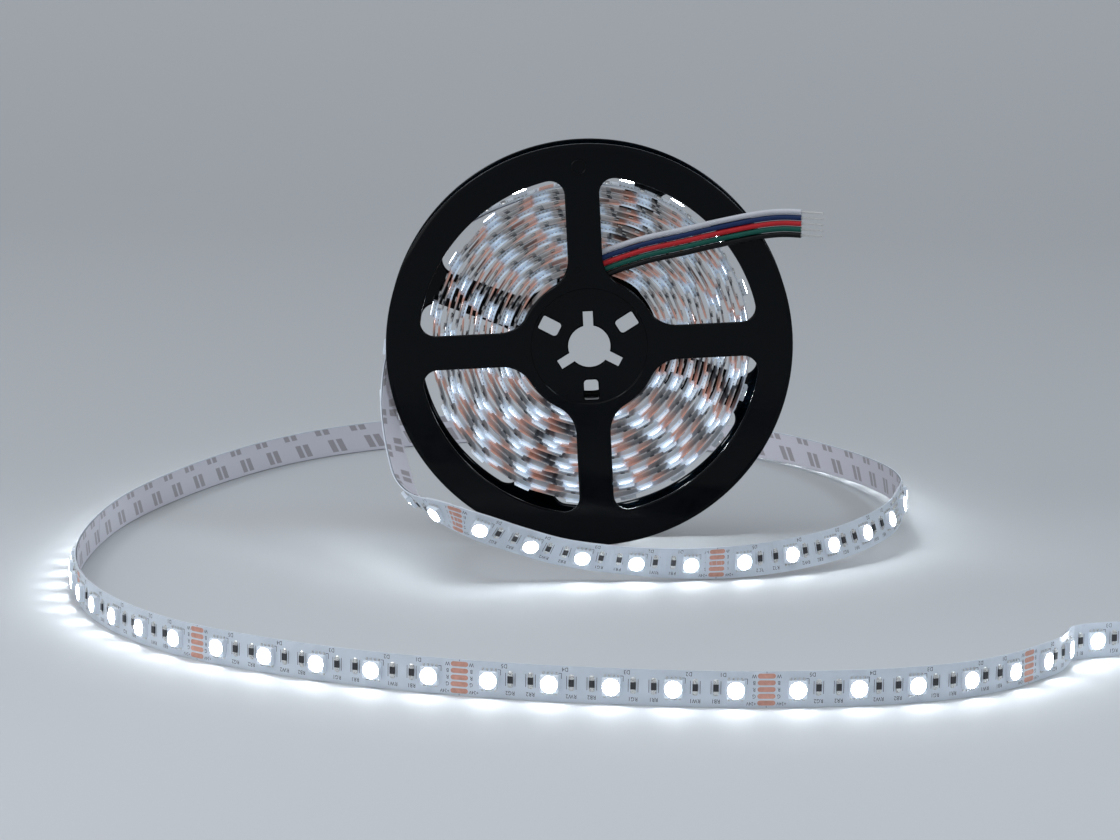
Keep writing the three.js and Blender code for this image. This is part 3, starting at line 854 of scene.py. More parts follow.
@dataclass
class CircuitArt:
    """What is printed and soldered on one group of five lamps, as flat layouts."""

    strip: Strip
    print_layer: float = 0.012
    pads: FlatArt = field(default_factory=FlatArt)
    ink: FlatArt = field(default_factory=FlatArt)
    solder: FlatArt = field(default_factory=FlatArt)
    chips: FlatArt = field(default_factory=FlatArt)
    terminals: FlatArt = field(default_factory=FlatArt)

    pad_rows: tuple[float, ...] = (3.7, 1.85, 0.0, -1.85, -3.7)
    pad_length: float = 4.9
    pad_height: float = 1.35
    pad_sink: float = 0.02
    pad_rise: float = 0.035
    solder_height: float = 0.42
    chip_offsets: tuple[float, float] = (5.85, 11.4)
    chip_middle: float = 0.4
    chip_width: float = 1.5
    chip_length: float = 2.1
    chip_height: float = 0.42
    line_width: float = 0.13
    label_row: float = 4.05
    name_row: float = -3.3

    def lay_out(self, with_print: bool) -> None:
        """Fills the layouts.

        Args:
            with_print: Whether the silkscreen is drawn.
        """
        top = self.strip.thickness / 2
        for y in self.pad_rows:
            self.pads.stadium(0.0, y, self.pad_length, self.pad_height, top - self.pad_sink,
                              top + self.pad_rise)
            self.solder.stadium(0.0, y, self.pad_length * 0.92, self.pad_height * 0.9, top,
                                top + self.solder_height, inset=self.solder_height)
        names = iter(("RB1", "RW1", "RR1", "RG1", "RB2", "RW2", "RR2", "RG2"))
        for k in range(self.strip.group):
            lamp_x = -(k + 0.5) * self.strip.pitch
            if with_print:
                label_x = lamp_x - 3.4 if k == 0 else lamp_x + 4.1
                self.ink.text(f"D{k + 1}", label_x, self.label_row, 1.15, top + self.print_layer)
                self.corner_mark(lamp_x, top)
            if k == 0:
                continue
            for offset in reversed(self.chip_offsets):
                self.chip(lamp_x + offset, next(names) if with_print else "", top)
        if with_print:
            self.pad_marks(top)

    def chip(self, x: float, name: str, top: float) -> None:
        """Draws one chip resistor: body, terminals, solder pads and, with a name, its outline and mark."""
        y = self.chip_middle
        self.chips.box(x, y, self.chip_width, self.chip_length, top, top + self.chip_height, inset=0.05)
        for end in (-1, 1):
            self.terminals.box(x, y + end * 1.28, 1.52, 0.62, top, top + 0.44, inset=0.08)
            self.terminals.stadium(x, y + end * 1.72, 1.5, 1.1, top, top + 0.2, inset=0.22)
        if not name:
            return
        for side in (-1, 1):
            self.ink.box(x + side * 1.32, y, self.line_width, 3.6, top, top + self.print_layer)
        self.ink.text(name, x, self.name_row, 1.12, top + self.print_layer)

    def corner_mark(self, x: float, top: float) -> None:
        """Draws the outline mark at one corner of a lamp."""
        self.ink.box(x + 3.15, 2.15, self.line_width, 1.5, top, top + self.print_layer)
        self.ink.box(x + 2.75, 2.9, 0.8, self.line_width, top, top + self.print_layer)

    def pad_marks(self, top: float) -> None:
        """Draws the letters beside the pads, on both sides of the cut line, and the line itself."""
        for x in (3.35, -3.35):
            for letter, y in zip("WBRG", self.pad_rows):
                self.ink.text(letter, x, y, 1.1, top + self.print_layer)
            self.ink.text("+24V", x * 1.22, self.pad_rows[-1] - 0.15, 0.95, top + self.print_layer)
        for y in (4.75, -4.75):
            self.ink.box(0.0, y, 0.12, 0.45, top, top + self.print_layer)


@dataclass
class LampTemplates:
    """One lamp package about its station: case with pins, and its round window."""

    strip: Strip
    window_radius: float = 2.28
    window_steps: int = 20
    pin_rows: tuple[float, ...] = (-1.8, -0.6, 0.6, 1.8)
    corner_reach: float = 1.36
    cup_share: float = 0.93
    sink: float = 0.05

    def circle(self, share: float, height: float) -> list[tuple[float, float, float]]:
        """A circle of a share of the window's radius, at a height."""
        radius = self.window_radius * share
        turns = [math.tau * k / self.window_steps + math.pi / 4 for k in range(self.window_steps)]
        return [(radius * math.cos(turn), radius * math.sin(turn), height) for turn in turns]

    def outline(self, half: float) -> Outline:
        """A square of half a side with cut corners, with as many points as the window."""
        points = []
        for x, y, _ in self.circle(1.0 / self.window_radius, 0.0):
            reach = min(half / max(abs(x), abs(y), 1e-9), half * self.corner_reach)
            points.append((reach * x, reach * y))
        return points

    def case(self, height: float) -> FlatArt:
        """The white package with a sunk round cup.

        Args:
            height: Height above the strip's face.

        Returns:
            The layout of one package.
        """
        art = FlatArt()
        foot = self.strip.thickness / 2 - self.sink
        top = self.strip.thickness / 2 + height
        half = self.strip.lamp_size / 2
        levels = ((half, foot), (half, top - 0.12), (half - 0.1, top))
        points = [(x, y, z) for reach, z in levels for x, y in self.outline(reach)]
        points += self.circle(1.0, top) + self.circle(self.cup_share, top - 0.25)
        art.add(points, skin(len(levels) + 2, self.window_steps))
        return art

    def pins(self) -> FlatArt:
        """Eight soldered pins, four on each side."""
        art = FlatArt()
        top = self.strip.thickness / 2
        for x in self.pin_rows:
            for side in (-1, 1):
                art.box(x, side * 2.78, 0.62, 0.85, top, top + 0.28, inset=0.12)
        return art

    def window(self, height: float) -> FlatArt:
        """The lit window in the cup, slightly domed."""
        art = FlatArt()
        top = self.strip.thickness / 2 + height
        levels = ((self.cup_share, -0.22), (0.99, 0.02), (0.85, 0.07), (0.5, 0.1))
        points = [point for share, rise in levels for point in self.circle(share, top + rise)]
        art.add(points, skin(len(levels), self.window_steps))
        return art


def finished(piece: Piece, slot: Slot | str, *nodes: str) -> Piece:
    """Ties a finished piece to the object.

    Args:
        piece: The piece.
        slot: Material slot of the record; not used.
        nodes: CAD nodes that it stands for.

    Returns:
        The same piece.
    """
    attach(piece, ROOT)
    slot.value if isinstance(slot, Slot) else slot
    if nodes:
        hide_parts(*nodes)
    log.info("%s: %d faces", piece.name, len(getattr(piece.data, "polygons", ())))
    return piece


@dataclass
class StripMaker:
    """Builds the free sections, their liners and the wound strip."""

    place: Frame
    strip: Strip
    roll: Roll
    finishes: dict[str, Material]
    tree: StationTree
    wave: float = 0.2
    sway: float = 0.22
    most_sway: float = 0.3
    unevenness: float = 0.05
    free_step: float = 1.5
    wound_step: float = 1.6
    wound_thinning: float = 0.1
    wound_margin: float = 0.15
    wound_overlap: float = 0.02
    seed: int = 7

    def __post_init__(self) -> None:
        """Works out the stations and where the roll ends."""
        self.free, self.leave_length = free_stations(self.roll, self.strip.width / 2)
        end, _, _, _ = self.free.sample(np.array([self.free_length()]))
        last = math.atan2(end[0, 2] - self.roll.axis, end[0, 0])
        while last < self.roll.leave_angle() - math.tau:
            last += math.tau
        self.last = last - self.roll.lap / self.roll.radius(last)
        inner, outer = self.roll.inner, self.roll.radius(self.last)
        self.wound_length = math.pi * (outer**2 - inner**2) / self.roll.turn_pitch

    def free_length(self) -> float:
        """Length of the free sections together."""
        return self.strip.sections * self.strip.section * self.strip.pitch

    def mesh(self, name: str, shape: tuple[np.ndarray, list], finish: str) -> Piece:
        """Makes a piece from points in the reel's frame."""
        return mesh_object(name, self.place.place(shape[0]), shape[1], self.finishes[finish])

    def swept(self, name: str, stations: Stations, at: np.ndarray, section: tuple[float, float, float],
              finish: str, slot: Slot, *nodes: str) -> None:
        """Builds a band with its UV map.

        Args:
            name: Name of the piece.
            stations: Where the strip runs.
            at: Lengths of the band's sections.
            section: Its width, and the offsets of its back and front on the lamp side.
            finish: Name of its finish.
            slot: Its material slot.
            nodes: CAD nodes that it stands for.
        """
        piece = self.mesh(name, band(stations, at, *section), finish)
        strip_uv(piece, at, section[0])
        outward(piece)
        finished(piece, slot, *nodes)

    def dress(self, label: str, stations: Stations, cuts: list[float], with_print: bool) -> CircuitArt:
        """Lays pads, print, chips and terminals on groups of lamps.

        Args:
            label: End of the pieces' names.
            stations: Where the strip runs.
            cuts: Lengths of the groups' cut lines. The first one has no pads.
            with_print: Whether the silkscreen is drawn.

        Returns:
            The layouts of one group.
        """
        art = CircuitArt(self.strip)
        art.lay_out(with_print)
        for name, layout, starts, finish, slot in (
            ("pads", art.pads, cuts[1:], "pad", Slot.PAD), ("print", art.ink, cuts, "ink", Slot.PRINT),
            ("chips", art.chips, cuts, "chip", Slot.CHIP),
            ("terminals", art.terminals, cuts, "tin", Slot.TIN),
        ):
            if layout.points:
                finished(self.mesh(f"{name}_{label}", layout.along(stations, starts), finish), slot)
        return art

    def section(self, number: int) -> None:
        """Builds one free section with all that is on it, and the release liner on its back.

        Args:
            number: 1 for the outermost section.
        """
        strip = self.strip
        length = strip.section * strip.pitch
        gap = self.roll.lap / 2
        start = (number - 1) * length
        end = start + length
        first = start + (gap if number > 1 else 0.0)
        at = np.append(np.arange(first, end - gap, self.free_step), end - gap)
        half = strip.thickness / 2
        self.swept(f"circuit_{number}", self.free, at, (strip.width, -half, half), "circuit", Slot.CIRCUIT,
                   f"strip_section_{number}")
        lamps = start + (np.arange(strip.section) + 0.5) * strip.pitch
        self.lamps(f"{number}", self.free, lamps, strip.lamp_height, "case", "window")
        group = strip.group * strip.pitch
        cuts = [start + group * k for k in range(strip.section // strip.group)]
        art = self.dress(f"{number}", self.free, cuts, with_print=True)
        if number < strip.sections:
            finished(self.mesh(f"solder_lap_{number}", art.solder.along(self.free, [end]), "tin"), Slot.TIN)
        top = -half - strip.liner_gap
        section = (strip.width - 2 * strip.liner_margin, top - strip.liner, top)
        self.swept(f"liner_{number}_paper", self.free, at[at <= self.leave_length], section, "liner",
                   Slot.LINER, f"liner_{number}")

    def lamps(self, label: str, stations: Stations, at: np.ndarray, height: float, case: str,
              glow: str) -> None:
        """Sets lamp packages on stations.

        Args:
            label: End of the pieces' names.
            stations: Where the strip runs.
            at: Lengths of the lamps.
            height: Height of a package.
            case: Finish of the packages.
            glow: Finish of the windows.
        """
        parts = LampTemplates(self.strip)
        for name, art, finish, slot in (
            ("lamp_cases", parts.case(height), case, Slot.LAMP),
            ("lamp_pins", parts.pins(), "tin", Slot.TIN),
            ("lamp_windows", parts.window(height), glow, Slot.GLOW),
        ):
            template = art.template(name + "_template", self.finishes[finish])
            layer = template.data.uv_layers.new(name=UV_MAP)
            for loop in template.data.loops:
                x, y, _ = template.data.vertices[loop.vertex_index].co
                layer.data[loop.index].uv = (self.strip.pitch / 2 * MM - x, self.strip.width / 2 * MM - y)
            piece = self.tree.lay(f"{name}_{label}", template, at, stations, self.place,
                                  self.finishes[finish])
            bpy.data.objects.remove(template)
            finished(piece, slot)

    def wound(self) -> None:
        """Builds the roll: band, liner between its turns, lamps, pads and chips."""
        strip, roll = self.strip, self.roll
        stations = roll_stations(roll, self.last, self.wound_length)
        rng = np.random.default_rng(self.seed)
        knots = np.linspace(0, self.wound_length, 120)
        sway, lift = (np.interp(stations.at, knots, rng.normal(0.0, spread, len(knots)))
                      for spread in (self.sway, self.unevenness))
        lift += self.wave * np.cos(math.tau * (stations.at / strip.pitch - 0.5))
        middle = stations.middle + stations.side * lift[:, None]
        middle[:, 1] += np.clip(sway, -self.most_sway, self.most_sway)
        stations = Stations(stations.at, middle, stations.edge, stations.side)
        at = np.arange(0.0, self.wound_length - 1.0, self.wound_step)
        half = strip.thickness / 2
        circuit = (strip.width, -half + self.wound_thinning, half)
        self.swept("wound_circuit", stations, at, circuit, "wound_circuit", Slot.CIRCUIT, "strip_roll")
        liner = (strip.width - 2 * self.wound_margin, -half - strip.liner, -half + self.wound_overlap)
        self.swept("wound_liner", stations, at, liner, "wound_liner", Slot.LINER)
        height = roll.turn_pitch - strip.thickness - roll.nest
        lamps = (np.arange(int(self.wound_length // strip.pitch)) + 0.5) * strip.pitch
        self.lamps("wound", stations, lamps, height, "wound_case", "wound_window")
        group = strip.group * strip.pitch
        cuts = [group * k for k in range(int(self.wound_length // group))]
        self.dress("wound", stations, cuts, with_print=False)


def arc(x: float, y: float, radius: float, start: float, end: float, steps: int) -> Outline:
    """Points of an arc, both ends included, with angles in radians."""
    return [(x + radius * math.cos(start + (end - start) * k / steps),
             y + radius * math.sin(start + (end - start) * k / steps)) for k in range(steps + 1)]


def turned(points: Outline, angle: float) -> Outline:
    """Flat points turned about the axis."""
    c, s = math.cos(angle), math.sin(angle)
    return [(x * c - y * s, x * s + y * c) for x, y in points]


@dataclass
class ReelHalf:
    """One moulded half of the reel, from its outer face inwards."""

    place: Frame
    spoke_turn: float
    outer_face: float
    inwards: float
    hub_turn: float = 3.7
    radius: float = 63.5
    thickness: float = 1.5
    rim_width: float = 10.2
    spoke_width: float = 10.8
    outer_fillet: float = 4.6
    inner_fillet: float = 10.0
    plate_radius: float = 21.7
    recess_radius: float = 18.2
    recess_depth: float = 0.5
    bore_radius: float = 6.6
    key_width: float = 3.1
    key_reach: float = 11.0
    latch_width: float = 4.5
    latch_inner: float = 10.6
    latch_outer: float = 17.0
    latch_soft: float = 1.1
    latch_crisp: float = 0.5
    open_hub: float = 0.0
    sleeve_radius: float = 20.6
    sleeve_wall: float = 1.3
    sleeve_length: float = 12.3
    axis: float = 63.5
    rim_slope: float = 1.25
    rim_drop: float = 0.5
    edge_round: float = 0.6

    def window(self) -> Outline:
        """Outline of the window in the quarter where x and y are positive, counter-clockwise."""
        half = self.spoke_width / 2
        outer = self.radius - self.rim_width
        outer_side = half + self.outer_fillet
        outer_reach = math.sqrt((outer - self.outer_fillet) ** 2 - outer_side**2)
        outer_angle = math.atan2(outer_reach, outer_side)
        inner_side = half + self.inner_fillet
        inner_reach = math.sqrt((self.plate_radius + self.inner_fillet) ** 2 - inner_side**2)
        inner_angle = math.atan2(inner_side, inner_reach)
        quarter = math.pi / 2
        outline = [
            *arc(outer_side, outer_reach, self.outer_fillet, math.pi, outer_angle, 10),
            *arc(0, 0, outer, outer_angle, quarter - outer_angle, 40)[1:-1],
            *arc(outer_reach, outer_side, self.outer_fillet, quarter - outer_angle, -quarter, 10),
            *arc(inner_reach, inner_side, self.inner_fillet, -quarter, inner_angle - math.pi, 14),
            *arc(0, 0, self.plate_radius, inner_angle, quarter - inner_angle, 8)[1:-1],
            *arc(inner_side, inner_reach, self.inner_fillet, 1.5 * math.pi - inner_angle, math.pi, 14),
        ]
        return outline[::-1]

    def bore(self) -> Outline:
        """Outline of the arbor bore with its three key slots, counter-clockwise."""
        half = self.key_width / 2
        half_angle = math.asin(half / self.bore_radius)
        outline = []
        for k in range(3):
            slot = [(half, self.key_reach), (-half, self.key_reach)]
            to_next = arc(0, 0, self.bore_radius, math.pi / 2 + half_angle,
                          math.pi / 2 + math.tau / 3 - half_angle, 14)
            outline += turned(slot + to_next, k * math.tau / 3)
        return outline

    def latch(self) -> Outline:
        """Outline of a latch window on the x axis, counter-clockwise."""
        half, soft, crisp = self.latch_width / 2, self.latch_soft, self.latch_crisp
        quarter = math.pi / 2
        return [*arc(self.latch_outer - crisp, crisp - half, crisp, -quarter, 0, 4),
                *arc(self.latch_outer - crisp, half - crisp, crisp, 0, quarter, 4),
                *arc(self.latch_inner + soft, half - soft, soft, quarter, math.pi, 6),
                *arc(self.latch_inner + soft, soft - half, soft, math.pi, 1.5 * math.pi, 6)]

    @staticmethod
    def moved(outline: Outline, offset: float) -> Outline:
        """An outline grown by an offset, along its corners' normals."""
        points = np.array(outline)
        step = np.roll(points, -1, axis=0) - np.roll(points, 1, axis=0)
        normal = np.stack([step[:, 1], -step[:, 0]], axis=1)
        normal /= np.linalg.norm(normal, axis=1)[:, None]
        return [tuple(p) for p in points + normal * offset]

    def build(self, name: str, node: str, material: Material) -> Piece:
        """Makes the half.

        Args:
            name: Name of the piece.
            node: CAD node that it stands for.
            material: The moulded plastic.

        Returns:
            The finished piece.
        """
        rows: list[tuple[float, float, float]] = []
        faces: list[list[int]] = []
        flats: list[bool] = []

        def ring(outline: Outline, depth: float) -> list[int]:
            """Adds an outline at a depth and returns its vertex numbers."""
            rows.extend((a, b, depth) for a, b in outline)
            return list(range(len(rows) - len(outline), len(rows)))

        def wall(rings: list[list[int]]) -> None:
            """Adds faces between rings that follow each other."""
            for low, high in zip(rings, rings[1:]):
                n = len(low)
                faces.extend([low[k], low[(k + 1) % n], high[(k + 1) % n], high[k]] for k in range(n))
                flats.extend([False] * n)

        def cap(loops: list[list[int]]) -> None:
            """Fills an outer loop with holes in it."""
            flat = [[Vector(rows[i]) for i in loop] for loop in loops]
            numbers = [i for loop in loops for i in loop]
            for triangle in tessellate_polygon(flat):
                faces.append([numbers[i] for i in triangle])
                flats.append(True)

        def hole(outline: Outline, top: float) -> list[list[int]]:
            """Adds the wall of a hole with rounded rims, the same distance in from both faces."""
            e = self.edge_round
            levels = [(e * (1 - math.sin(p)), top + e * (1 - math.cos(p)))
                      for p in np.radians([0, 30, 60, 90])]
            levels += [(g, self.thickness - d) for g, d in reversed(levels)]
            rings = [ring(self.moved(outline, g), d) for g, d in levels]
            wall(rings)
            return [rings[0], rings[-1]]

        full = math.tau
        circle = arc(0, 0, 1.0, 0, full, 180)[:-1]

        def round_ring(radius: float, depth: float) -> list[int]:
            """Adds a circle about the axis at a depth."""
            return ring([(radius * a, radius * b) for a, b in circle], depth)

        r, t = self.radius, self.thickness
        rim = [round_ring(*level) for level in (
            (r - self.rim_slope, 0.0), (r - self.rim_slope + 0.12, 0.02), (r - 0.25, self.rim_drop),
            (r - 0.07, self.rim_drop + 0.08), (r, self.rim_drop + 0.25), (r, t - 0.3), (r - 0.1, t - 0.1),
            (r - 0.3, t))]
        wall(rim)
        windows = [hole(turned(self.window(), math.radians(self.spoke_turn) + k * full / 4), 0.0)
                   for k in range(4)]
        recess = [round_ring(*level) for level in (
            (self.recess_radius + 0.25, 0.0), (self.recess_radius + 0.06, 0.06), (self.recess_radius, 0.22),
            (self.recess_radius - 0.05, self.recess_depth - 0.06),
            (self.recess_radius - 0.2, self.recess_depth))]
        wall(recess)
        hub = math.radians(self.hub_turn)
        outlines = [turned(self.bore(), hub)]
        outlines += [turned(self.latch(), hub + math.radians(150 + 120 * k)) for k in range(3)]
        if self.open_hub:
            outlines = [arc(0, 0, self.open_hub, 0, full, 120)[:-1]]
        bores = [hole(outline, self.recess_depth) for outline in outlines]
        cap([rim[0], recess[0], *(w[0] for w in windows)])
        cap([recess[-1], *(b[0] for b in bores)])
        cap([rim[-1], *(w[1] for w in windows), *(b[1] for b in bores)])
        points = np.array([(a, self.outer_face + self.inwards * d, self.axis + b) for a, b, d in rows])
        body = mesh_object(name, self.place.place(points), faces, material)
        body.data.polygons.foreach_set("use_smooth", [not flat for flat in flats])
        outward(body)
        extras = [self.sleeve(material), *self.marks(material)]
        whole = joined(name, [body, *extras])
        return finished(whole, Slot.PLASTIC, node)

    def lathe(self, profile: Outline, x: float, z: float, steps: int,
              material: Material) -> Piece:
        """A closed ring turned about an axis along Y.

        Args:
            profile: Radius and depth pairs of its closed section.
            x: Axis, from the reel's axis.
            z: Axis, from the reel's axis.
            steps: Facets round it.
            material: Its finish.

        Returns:
            The ring.
        """
        n = len(profile)
        rows, faces = [], []
        for k in range(steps):
            turn = math.tau * k / steps
            rows += [(x + radius * math.cos(turn), self.outer_face + self.inwards * d,
                      self.axis + z + radius * math.sin(turn)) for radius, d in profile]
            here, ahead = k * n, (k + 1) % steps * n
            faces += [[here + i, here + (i + 1) % n, ahead + (i + 1) % n, ahead + i] for i in range(n)]
        piece = mesh_object("ring", self.place.place(rows), faces, material, smooth=True)
        outward(piece)
        return piece

    def sleeve(self, material: Material) -> Piece:
        """The half's hub sleeve."""
        outer, inner = self.sleeve_radius, self.sleeve_radius - self.sleeve_wall
        near, far = self.thickness - 0.2, self.thickness + self.sleeve_length - 0.1
        profile = [(inner, near), (outer, near), (outer, far - 0.2), (outer - 0.2, far), (inner, far)]
        return self.lathe(profile, 0.0, 0.0, 120, material)

    def marks(self, material: Material) -> list[Piece]:
        """The moulded ring mark on the rim and the gate pimple on the spoke."""
        turn = math.radians(self.spoke_turn)
        ring_x, ring_z = turned([(-0.6, 56.3)], turn)[0]
        pip_x, pip_z = turned([(-2.6, 24.2)], turn)[0]
        ring = self.lathe([(1.85, 0.1), (1.95, -0.18), (2.2, -0.32), (2.45, -0.18), (2.55, 0.1)],
                          ring_x, ring_z, 40, material)
        pip = self.lathe([(0.02, -0.3), (0.45, -0.26), (0.8, -0.1), (0.9, 0.1), (0.02, 0.1)],
                         pip_x, pip_z, 20, material)
        return [ring, pip]


@dataclass
class Lead:
    """Five wires side by side, from the strip's inner end to their stripped ends."""

    place: Frame
    roll: Roll
    finishes: dict[str, Material]
    diameter: float = 1.5
    drawn_diameter: float = 1.72
    spacing: float = 1.8
    turn_spacing: float = 2.6
    turn_x: float = -1.8
    bend: float = 1.5
    fan: float = 0.36
    sleeve: float = 20.6
    gap: float = 0.3
    flange: float = 1.5
    roll_front: float = 3.7
    strand_length: float = 6.5
    declared_length: float = 0.083

    # Route of the middle wire, listed from behind the top spoke to its stripped end
    route = (
        (5.2, 2.6, 89.8), (10.5, 2.2, 91.8), (16, 1.2, 93.8), (22, -0.1, 95.5), (28, -1.1, 97),
        (34, -1.5, 98.6), (41, -1.6, 100.3), (48, -1.9, 101.9), (54.5, -2.8, 103.2), (60, -4, 103.8),
        (64.8, -5.4, 103.8),
    )

    def keys(self, number: int) -> np.ndarray:
        """Key points of one wire in the reel's frame.

        Args:
            number: Its place in the row, 0 for white.

        Returns:
            Rows of x, y, z in millimetres.
        """
        offset = (2 - number) * self.spacing
        channel = self.sleeve + self.gap + self.diameter / 2
        depth = (self.roll_front + self.flange) / 2
        start_x = self.roll.inner * math.cos(math.radians(self.roll.start)) + self.gap
        pad = self.roll.middle - offset
        turn = self.turn_x - offset * self.turn_spacing / self.spacing
        b = self.bend

        def in_gap(x: float, y: float, rise: float = 0.0) -> tuple[float, float, float]:
            """A point in the hub's wire gap."""
            return (x, y, self.roll.axis + math.sqrt(channel**2 - x**2) + rise)

        points = [
            in_gap(start_x, pad), in_gap((start_x + turn - b) / 2, pad), in_gap(turn - b, pad),
            in_gap(turn - 0.3 * b, pad - 0.3 * b), in_gap(turn, (pad + depth) / 2),
            in_gap(turn + 0.1 * b, depth + 0.3 * b, 0.15 * b),
            in_gap(turn + 0.4 * b, depth, b + self.fan * offset),
        ]
        for i, (x, y, z) in enumerate(self.route):
            ax, _, az = self.route[max(i - 1, 0)]
            bx, _, bz = self.route[min(i + 1, len(self.route) - 1)]
            reach = math.hypot(bx - ax, bz - az)
            points.append((x - (bz - az) / reach * offset, y, z + (bx - ax) / reach * offset))
        return np.array(points, float)

    def wire(self, number: int, colour: str) -> None:
        """Builds one wire with its tinned end.

        Args:
            number: Its place in the row.
            colour: Its name.
        """
        keys = self.keys(number)
        line = catmull_rom(keys, np.linspace(0, len(keys) - 1, 2 * len(keys) - 1))
        curve = bpy.data.curves.new(f"{colour}_insulation", "CURVE")
        curve.dimensions = "3D"
        curve.bevel_depth = self.drawn_diameter / 2 * MM
        curve.bevel_resolution = 5
        curve.use_fill_caps = True
        curve.resolution_u = 4
        spline = curve.splines.new("NURBS")
        points = self.place.place(line)
        spline.points.add(len(points) - 1)
        for point, co in zip(spline.points, points):
            point.co = (*co, 1.0)
        spline.use_endpoint_u = True
        spline.order_u = 3
        curve.materials.append(self.finishes[colour])
        cord = bpy.data.objects.new(f"{colour}_insulation", curve)
        bpy.context.scene.collection.objects.link(cord)
        end = self.strands(colour, keys[-1], keys[-1] - keys[-2])
        finished(end, Slot.STRAND, f"{colour}_wire_end")
        finished(cord, f"wire_{colour}", f"{colour}_wire")

    def strands(self, colour: str, start: np.ndarray, heading: np.ndarray) -> Piece:
        """The stripped end: seven thin strands twisted together.

        Args:
            colour: Name of the wire.
            start: End of the insulation.
            heading: Its direction.

        Returns:
            One mesh with all the strands.
        """
        heading = heading / np.linalg.norm(heading)
        across = np.cross(heading, [0.0, 1.0, 0.0])
        across /= np.linalg.norm(across)
        upwards = np.cross(across, heading)
        steps, sides, radius, lay_radius = 16, 6, 0.14, 0.26
        outer_strands, twist, tightening = 6, 1.1, 0.35
        rows, faces = [], []
        for strand in range(outer_strands + 1):
            base = len(rows)
            for k in range(steps + 1):
                share = k / steps
                spin = math.tau * (strand / outer_strands + twist * share)
                reach = 0.0 if strand == outer_strands else lay_radius * (1.0 - tightening * share)
                centre = start + heading * share * (self.strand_length + self.gap)
                centre = centre + (across * math.cos(spin) + upwards * math.sin(spin)) * reach
                for s in range(sides):
                    turn = math.tau * s / sides
                    rows.append(centre + (across * math.cos(turn) + upwards * math.sin(turn)) * radius)
            faces += skin(steps + 1, sides, base)
        piece = mesh_object(f"{colour}_strands", self.place.place(np.array(rows)), faces,
                            self.finishes["strand"], smooth=True)
        outward(piece)
        return piece


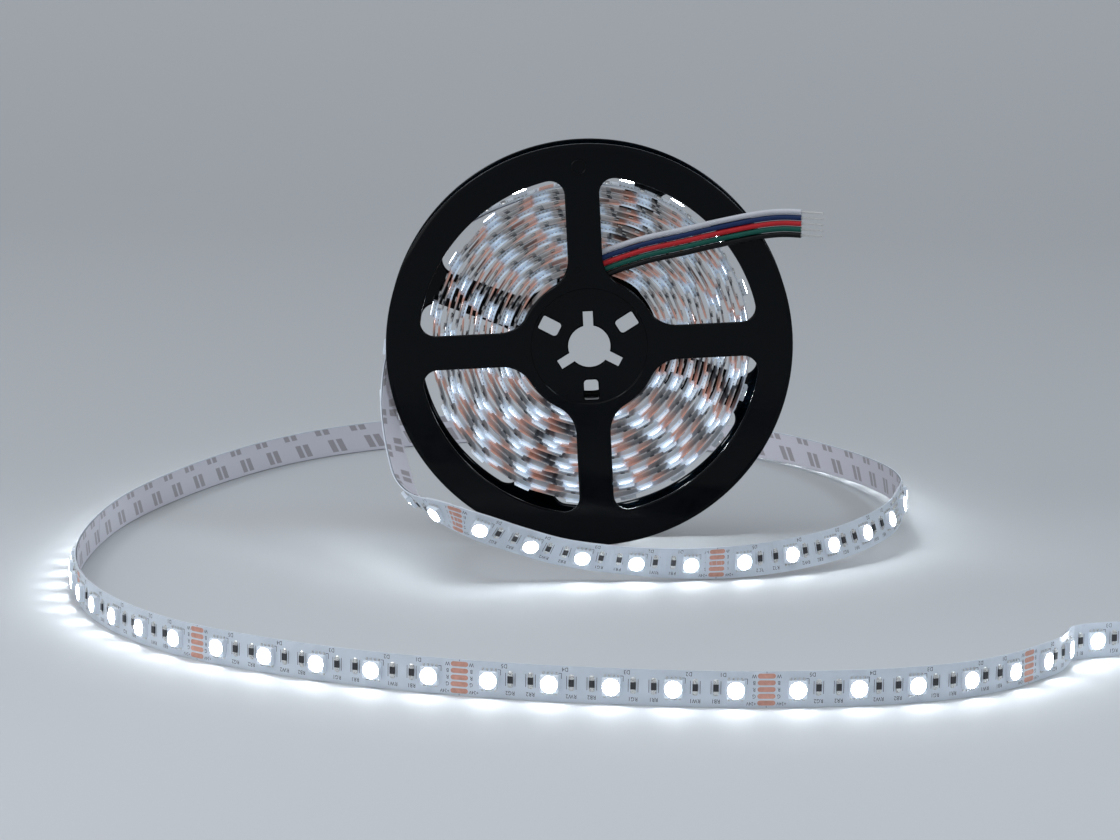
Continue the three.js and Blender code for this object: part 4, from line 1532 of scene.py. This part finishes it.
@dataclass
class Studio:
    """Pale seamless backdrop, soft light and the camera."""

    place: Frame
    lens: float = 146.8
    pitch: float = 10.0
    tilt: float = 0.9
    camera_place: tuple[float, float, float] = (-8.78, -1406.1, 288.0)
    aim_height: float = 0.06
    # Painted light and shade on one paper: a lit front floor, a shaded rear floor and a lighter wall.
    front_floor: Colour = (0.545, 0.56, 0.58)
    rear_floor: Colour = (0.42, 0.434, 0.45)
    wall: Colour = (0.80, 0.81, 0.825)

    def camera(self) -> None:
        """Sets the camera at the photograph's viewing angle."""
        data = bpy.data.cameras.new("camera")
        data.lens = self.lens
        data.sensor_width = 36.0
        data.sensor_fit = "HORIZONTAL"
        data.clip_end = 50.0
        camera = bpy.data.objects.new("camera", data)
        pitch, tilt = math.radians(self.pitch), math.radians(self.tilt)
        ahead = Vector((0.0, math.cos(pitch), -math.sin(pitch)))
        level_up = Vector((0.0, math.sin(pitch), math.cos(pitch)))
        level_right = Vector((1.0, 0.0, 0.0))
        right = level_right * math.cos(tilt) + level_up * math.sin(tilt)
        up = level_up * math.cos(tilt) - level_right * math.sin(tilt)
        turn = Matrix((right, up, -ahead)).transposed()
        where = self.place.place(np.array([self.camera_place]))[0]
        camera.matrix_world = Matrix.Translation(Vector(where)) @ turn.to_4x4()
        bpy.context.scene.collection.objects.link(camera)
        bpy.context.scene.camera = camera

    def backdrop(self) -> None:
        """Lays the floor and its sweep up to the wall, with painted light and shade: lit in front, painted
        shade further back and lighter up the wall.
        """
        depth, lift, bend, reach = 0.75, 2.2, 0.9, 3.0
        profile = [(-3.0, 0.0), (depth, 0.0)]
        profile += [(depth + bend * math.sin(a), bend * (1 - math.cos(a)))
                    for a in np.radians(range(6, 91, 6))]
        profile.append((depth + bend, lift))
        rows = [(x, y, z) for y, z in profile for x in (-reach, reach)]
        faces = [[2 * k, 2 * k + 1, 2 * k + 3, 2 * k + 2] for k in range(len(profile) - 1)]
        surface = Surface("backdrop_paper_painted_light", {"Roughness": 0.75, "Specular IOR Level": 0.25})
        where = surface.split(surface.place)
        # Painted light and shade: the floor goes from lit in front to shaded further back, and gets lighter
        # up the wall.
        back = surface.spread(where["Y"], {"From Min": -0.30, "From Max": 0.15},
                              interpolation_type="SMOOTHSTEP")
        height = surface.spread(where["Z"], {"From Min": 0.0, "From Max": 0.7})
        floor = surface.mix(back, (*self.front_floor, 1.0), (*self.rear_floor, 1.0))
        surface.feed(surface.shader, {"Base Color": surface.mix(height, floor, (*self.wall, 1.0))})
        sheet = mesh_object("backdrop", np.array(rows), faces, surface.material)
        sheet.data.shade_smooth()

    def light(self, name: str, where: tuple[float, float, float], size: float, power: float,
              colour: Colour) -> None:
        """Adds one soft square light that faces the object.

        Args:
            name: Its name.
            where: Its place in metres.
            size: Side of the square.
            power: Watts.
            colour: Its colour.
        """
        data = bpy.data.lights.new(name, "AREA")
        data.shape = "SQUARE"
        data.size = size
        data.energy = power
        data.color = colour
        lamp = bpy.data.objects.new(name, data)
        aim = Vector((self.place.x, self.place.y, self.aim_height)) - Vector(where)
        turn = aim.to_track_quat("-Z", "Y").to_matrix().to_4x4()
        lamp.matrix_world = Matrix.Translation(Vector(where)) @ turn
        bpy.context.scene.collection.objects.link(lamp)

    def lights(self) -> None:
        """Sets the soft lights and the world."""
        self.light("top_softbox", (-0.5, -0.2, 1.6), 1.4, 8.0, (0.96, 0.98, 1.0))
        self.light("left_softbox", (-1.5, -1.0, 0.9), 0.9, 4.0, (0.95, 0.98, 1.0))
        self.light("right_edge_light", (1.1, -0.35, 1.15), 0.35, 4.0, (0.80, 0.93, 1.0))
        self.light("left_edge_light", (-0.95, -0.25, 1.2), 0.30, 3.0, (0.90, 0.96, 1.0))
        world = bpy.data.worlds.new("studio")
        world.use_nodes = True
        sky = world.node_tree.nodes["Background"]
        sky.inputs["Color"].default_value = (0.64, 0.67, 0.71, 1.0)
        sky.inputs["Strength"].default_value = 0.74
        bpy.context.scene.world = world


def build_finishes() -> dict[str, Material]:
    """Makes each finish once.

    Returns:
        Materials by the names that the makers use.
    """
    palette = Palette()
    finishes = {name: getattr(palette, name).build() for name in palette.__dataclass_fields__}
    finishes["liner"] = PrintedLiner().build()
    # The wound band, its liner and its lamp cases get painted glints, painted reflections, painted shade
    # between turns and a painted glow that grows towards the lower turns, strongest on the lamp cases.
    finishes["wound_circuit"] = PaintedWoundLook("wound_solder_mask_painted_light", (0.36, 0.35, 0.35)).build()
    finishes["wound_liner"] = PaintedWoundLook("wound_liner_painted_light", (0.12, 0.13, 0.16)).build()
    finishes["wound_case"] = PaintedWoundLook("wound_lamp_case_painted_light", (0.42, 0.46, 0.52), glow=0.12,
                                        low_glow=0.66).build()
    for colour, finish in WIRE_FINISHES.items():
        finishes[colour] = finish.build()
    return finishes


def main() -> None:
    """Builds the camera, the lead, the strip, the reel and the studio."""
    logging.basicConfig(level=logging.INFO, format="%(message)s")
    scene = bpy.context.scene
    scene.view_settings.view_transform = "Standard"
    place = Frame.of_reel()
    studio = Studio(place)
    studio.camera()
    finishes = build_finishes()
    roll = Roll()
    lead = Lead(place, roll, finishes)
    for number, colour in enumerate(WIRE_FINISHES):
        lead.wire(number, colour)
    maker = StripMaker(place, Strip(), roll, finishes, StationTree())
    for number in range(1, 4):
        maker.section(number)
    maker.wound()
    front = ReelHalf(place, spoke_turn=3.7, outer_face=0.0, inwards=1.0)
    front.build("reel_front_half", "front_flange", finishes["plastic"])
    rear = ReelHalf(place, spoke_turn=-18.8, outer_face=15.6, inwards=-1.0, sleeve_radius=19.0, open_hub=16.5)
    rear.build("reel_rear_half", "rear_flange", finishes["plastic"])
    studio.backdrop()
    studio.lights()


if __name__ == "__main__":
    main()
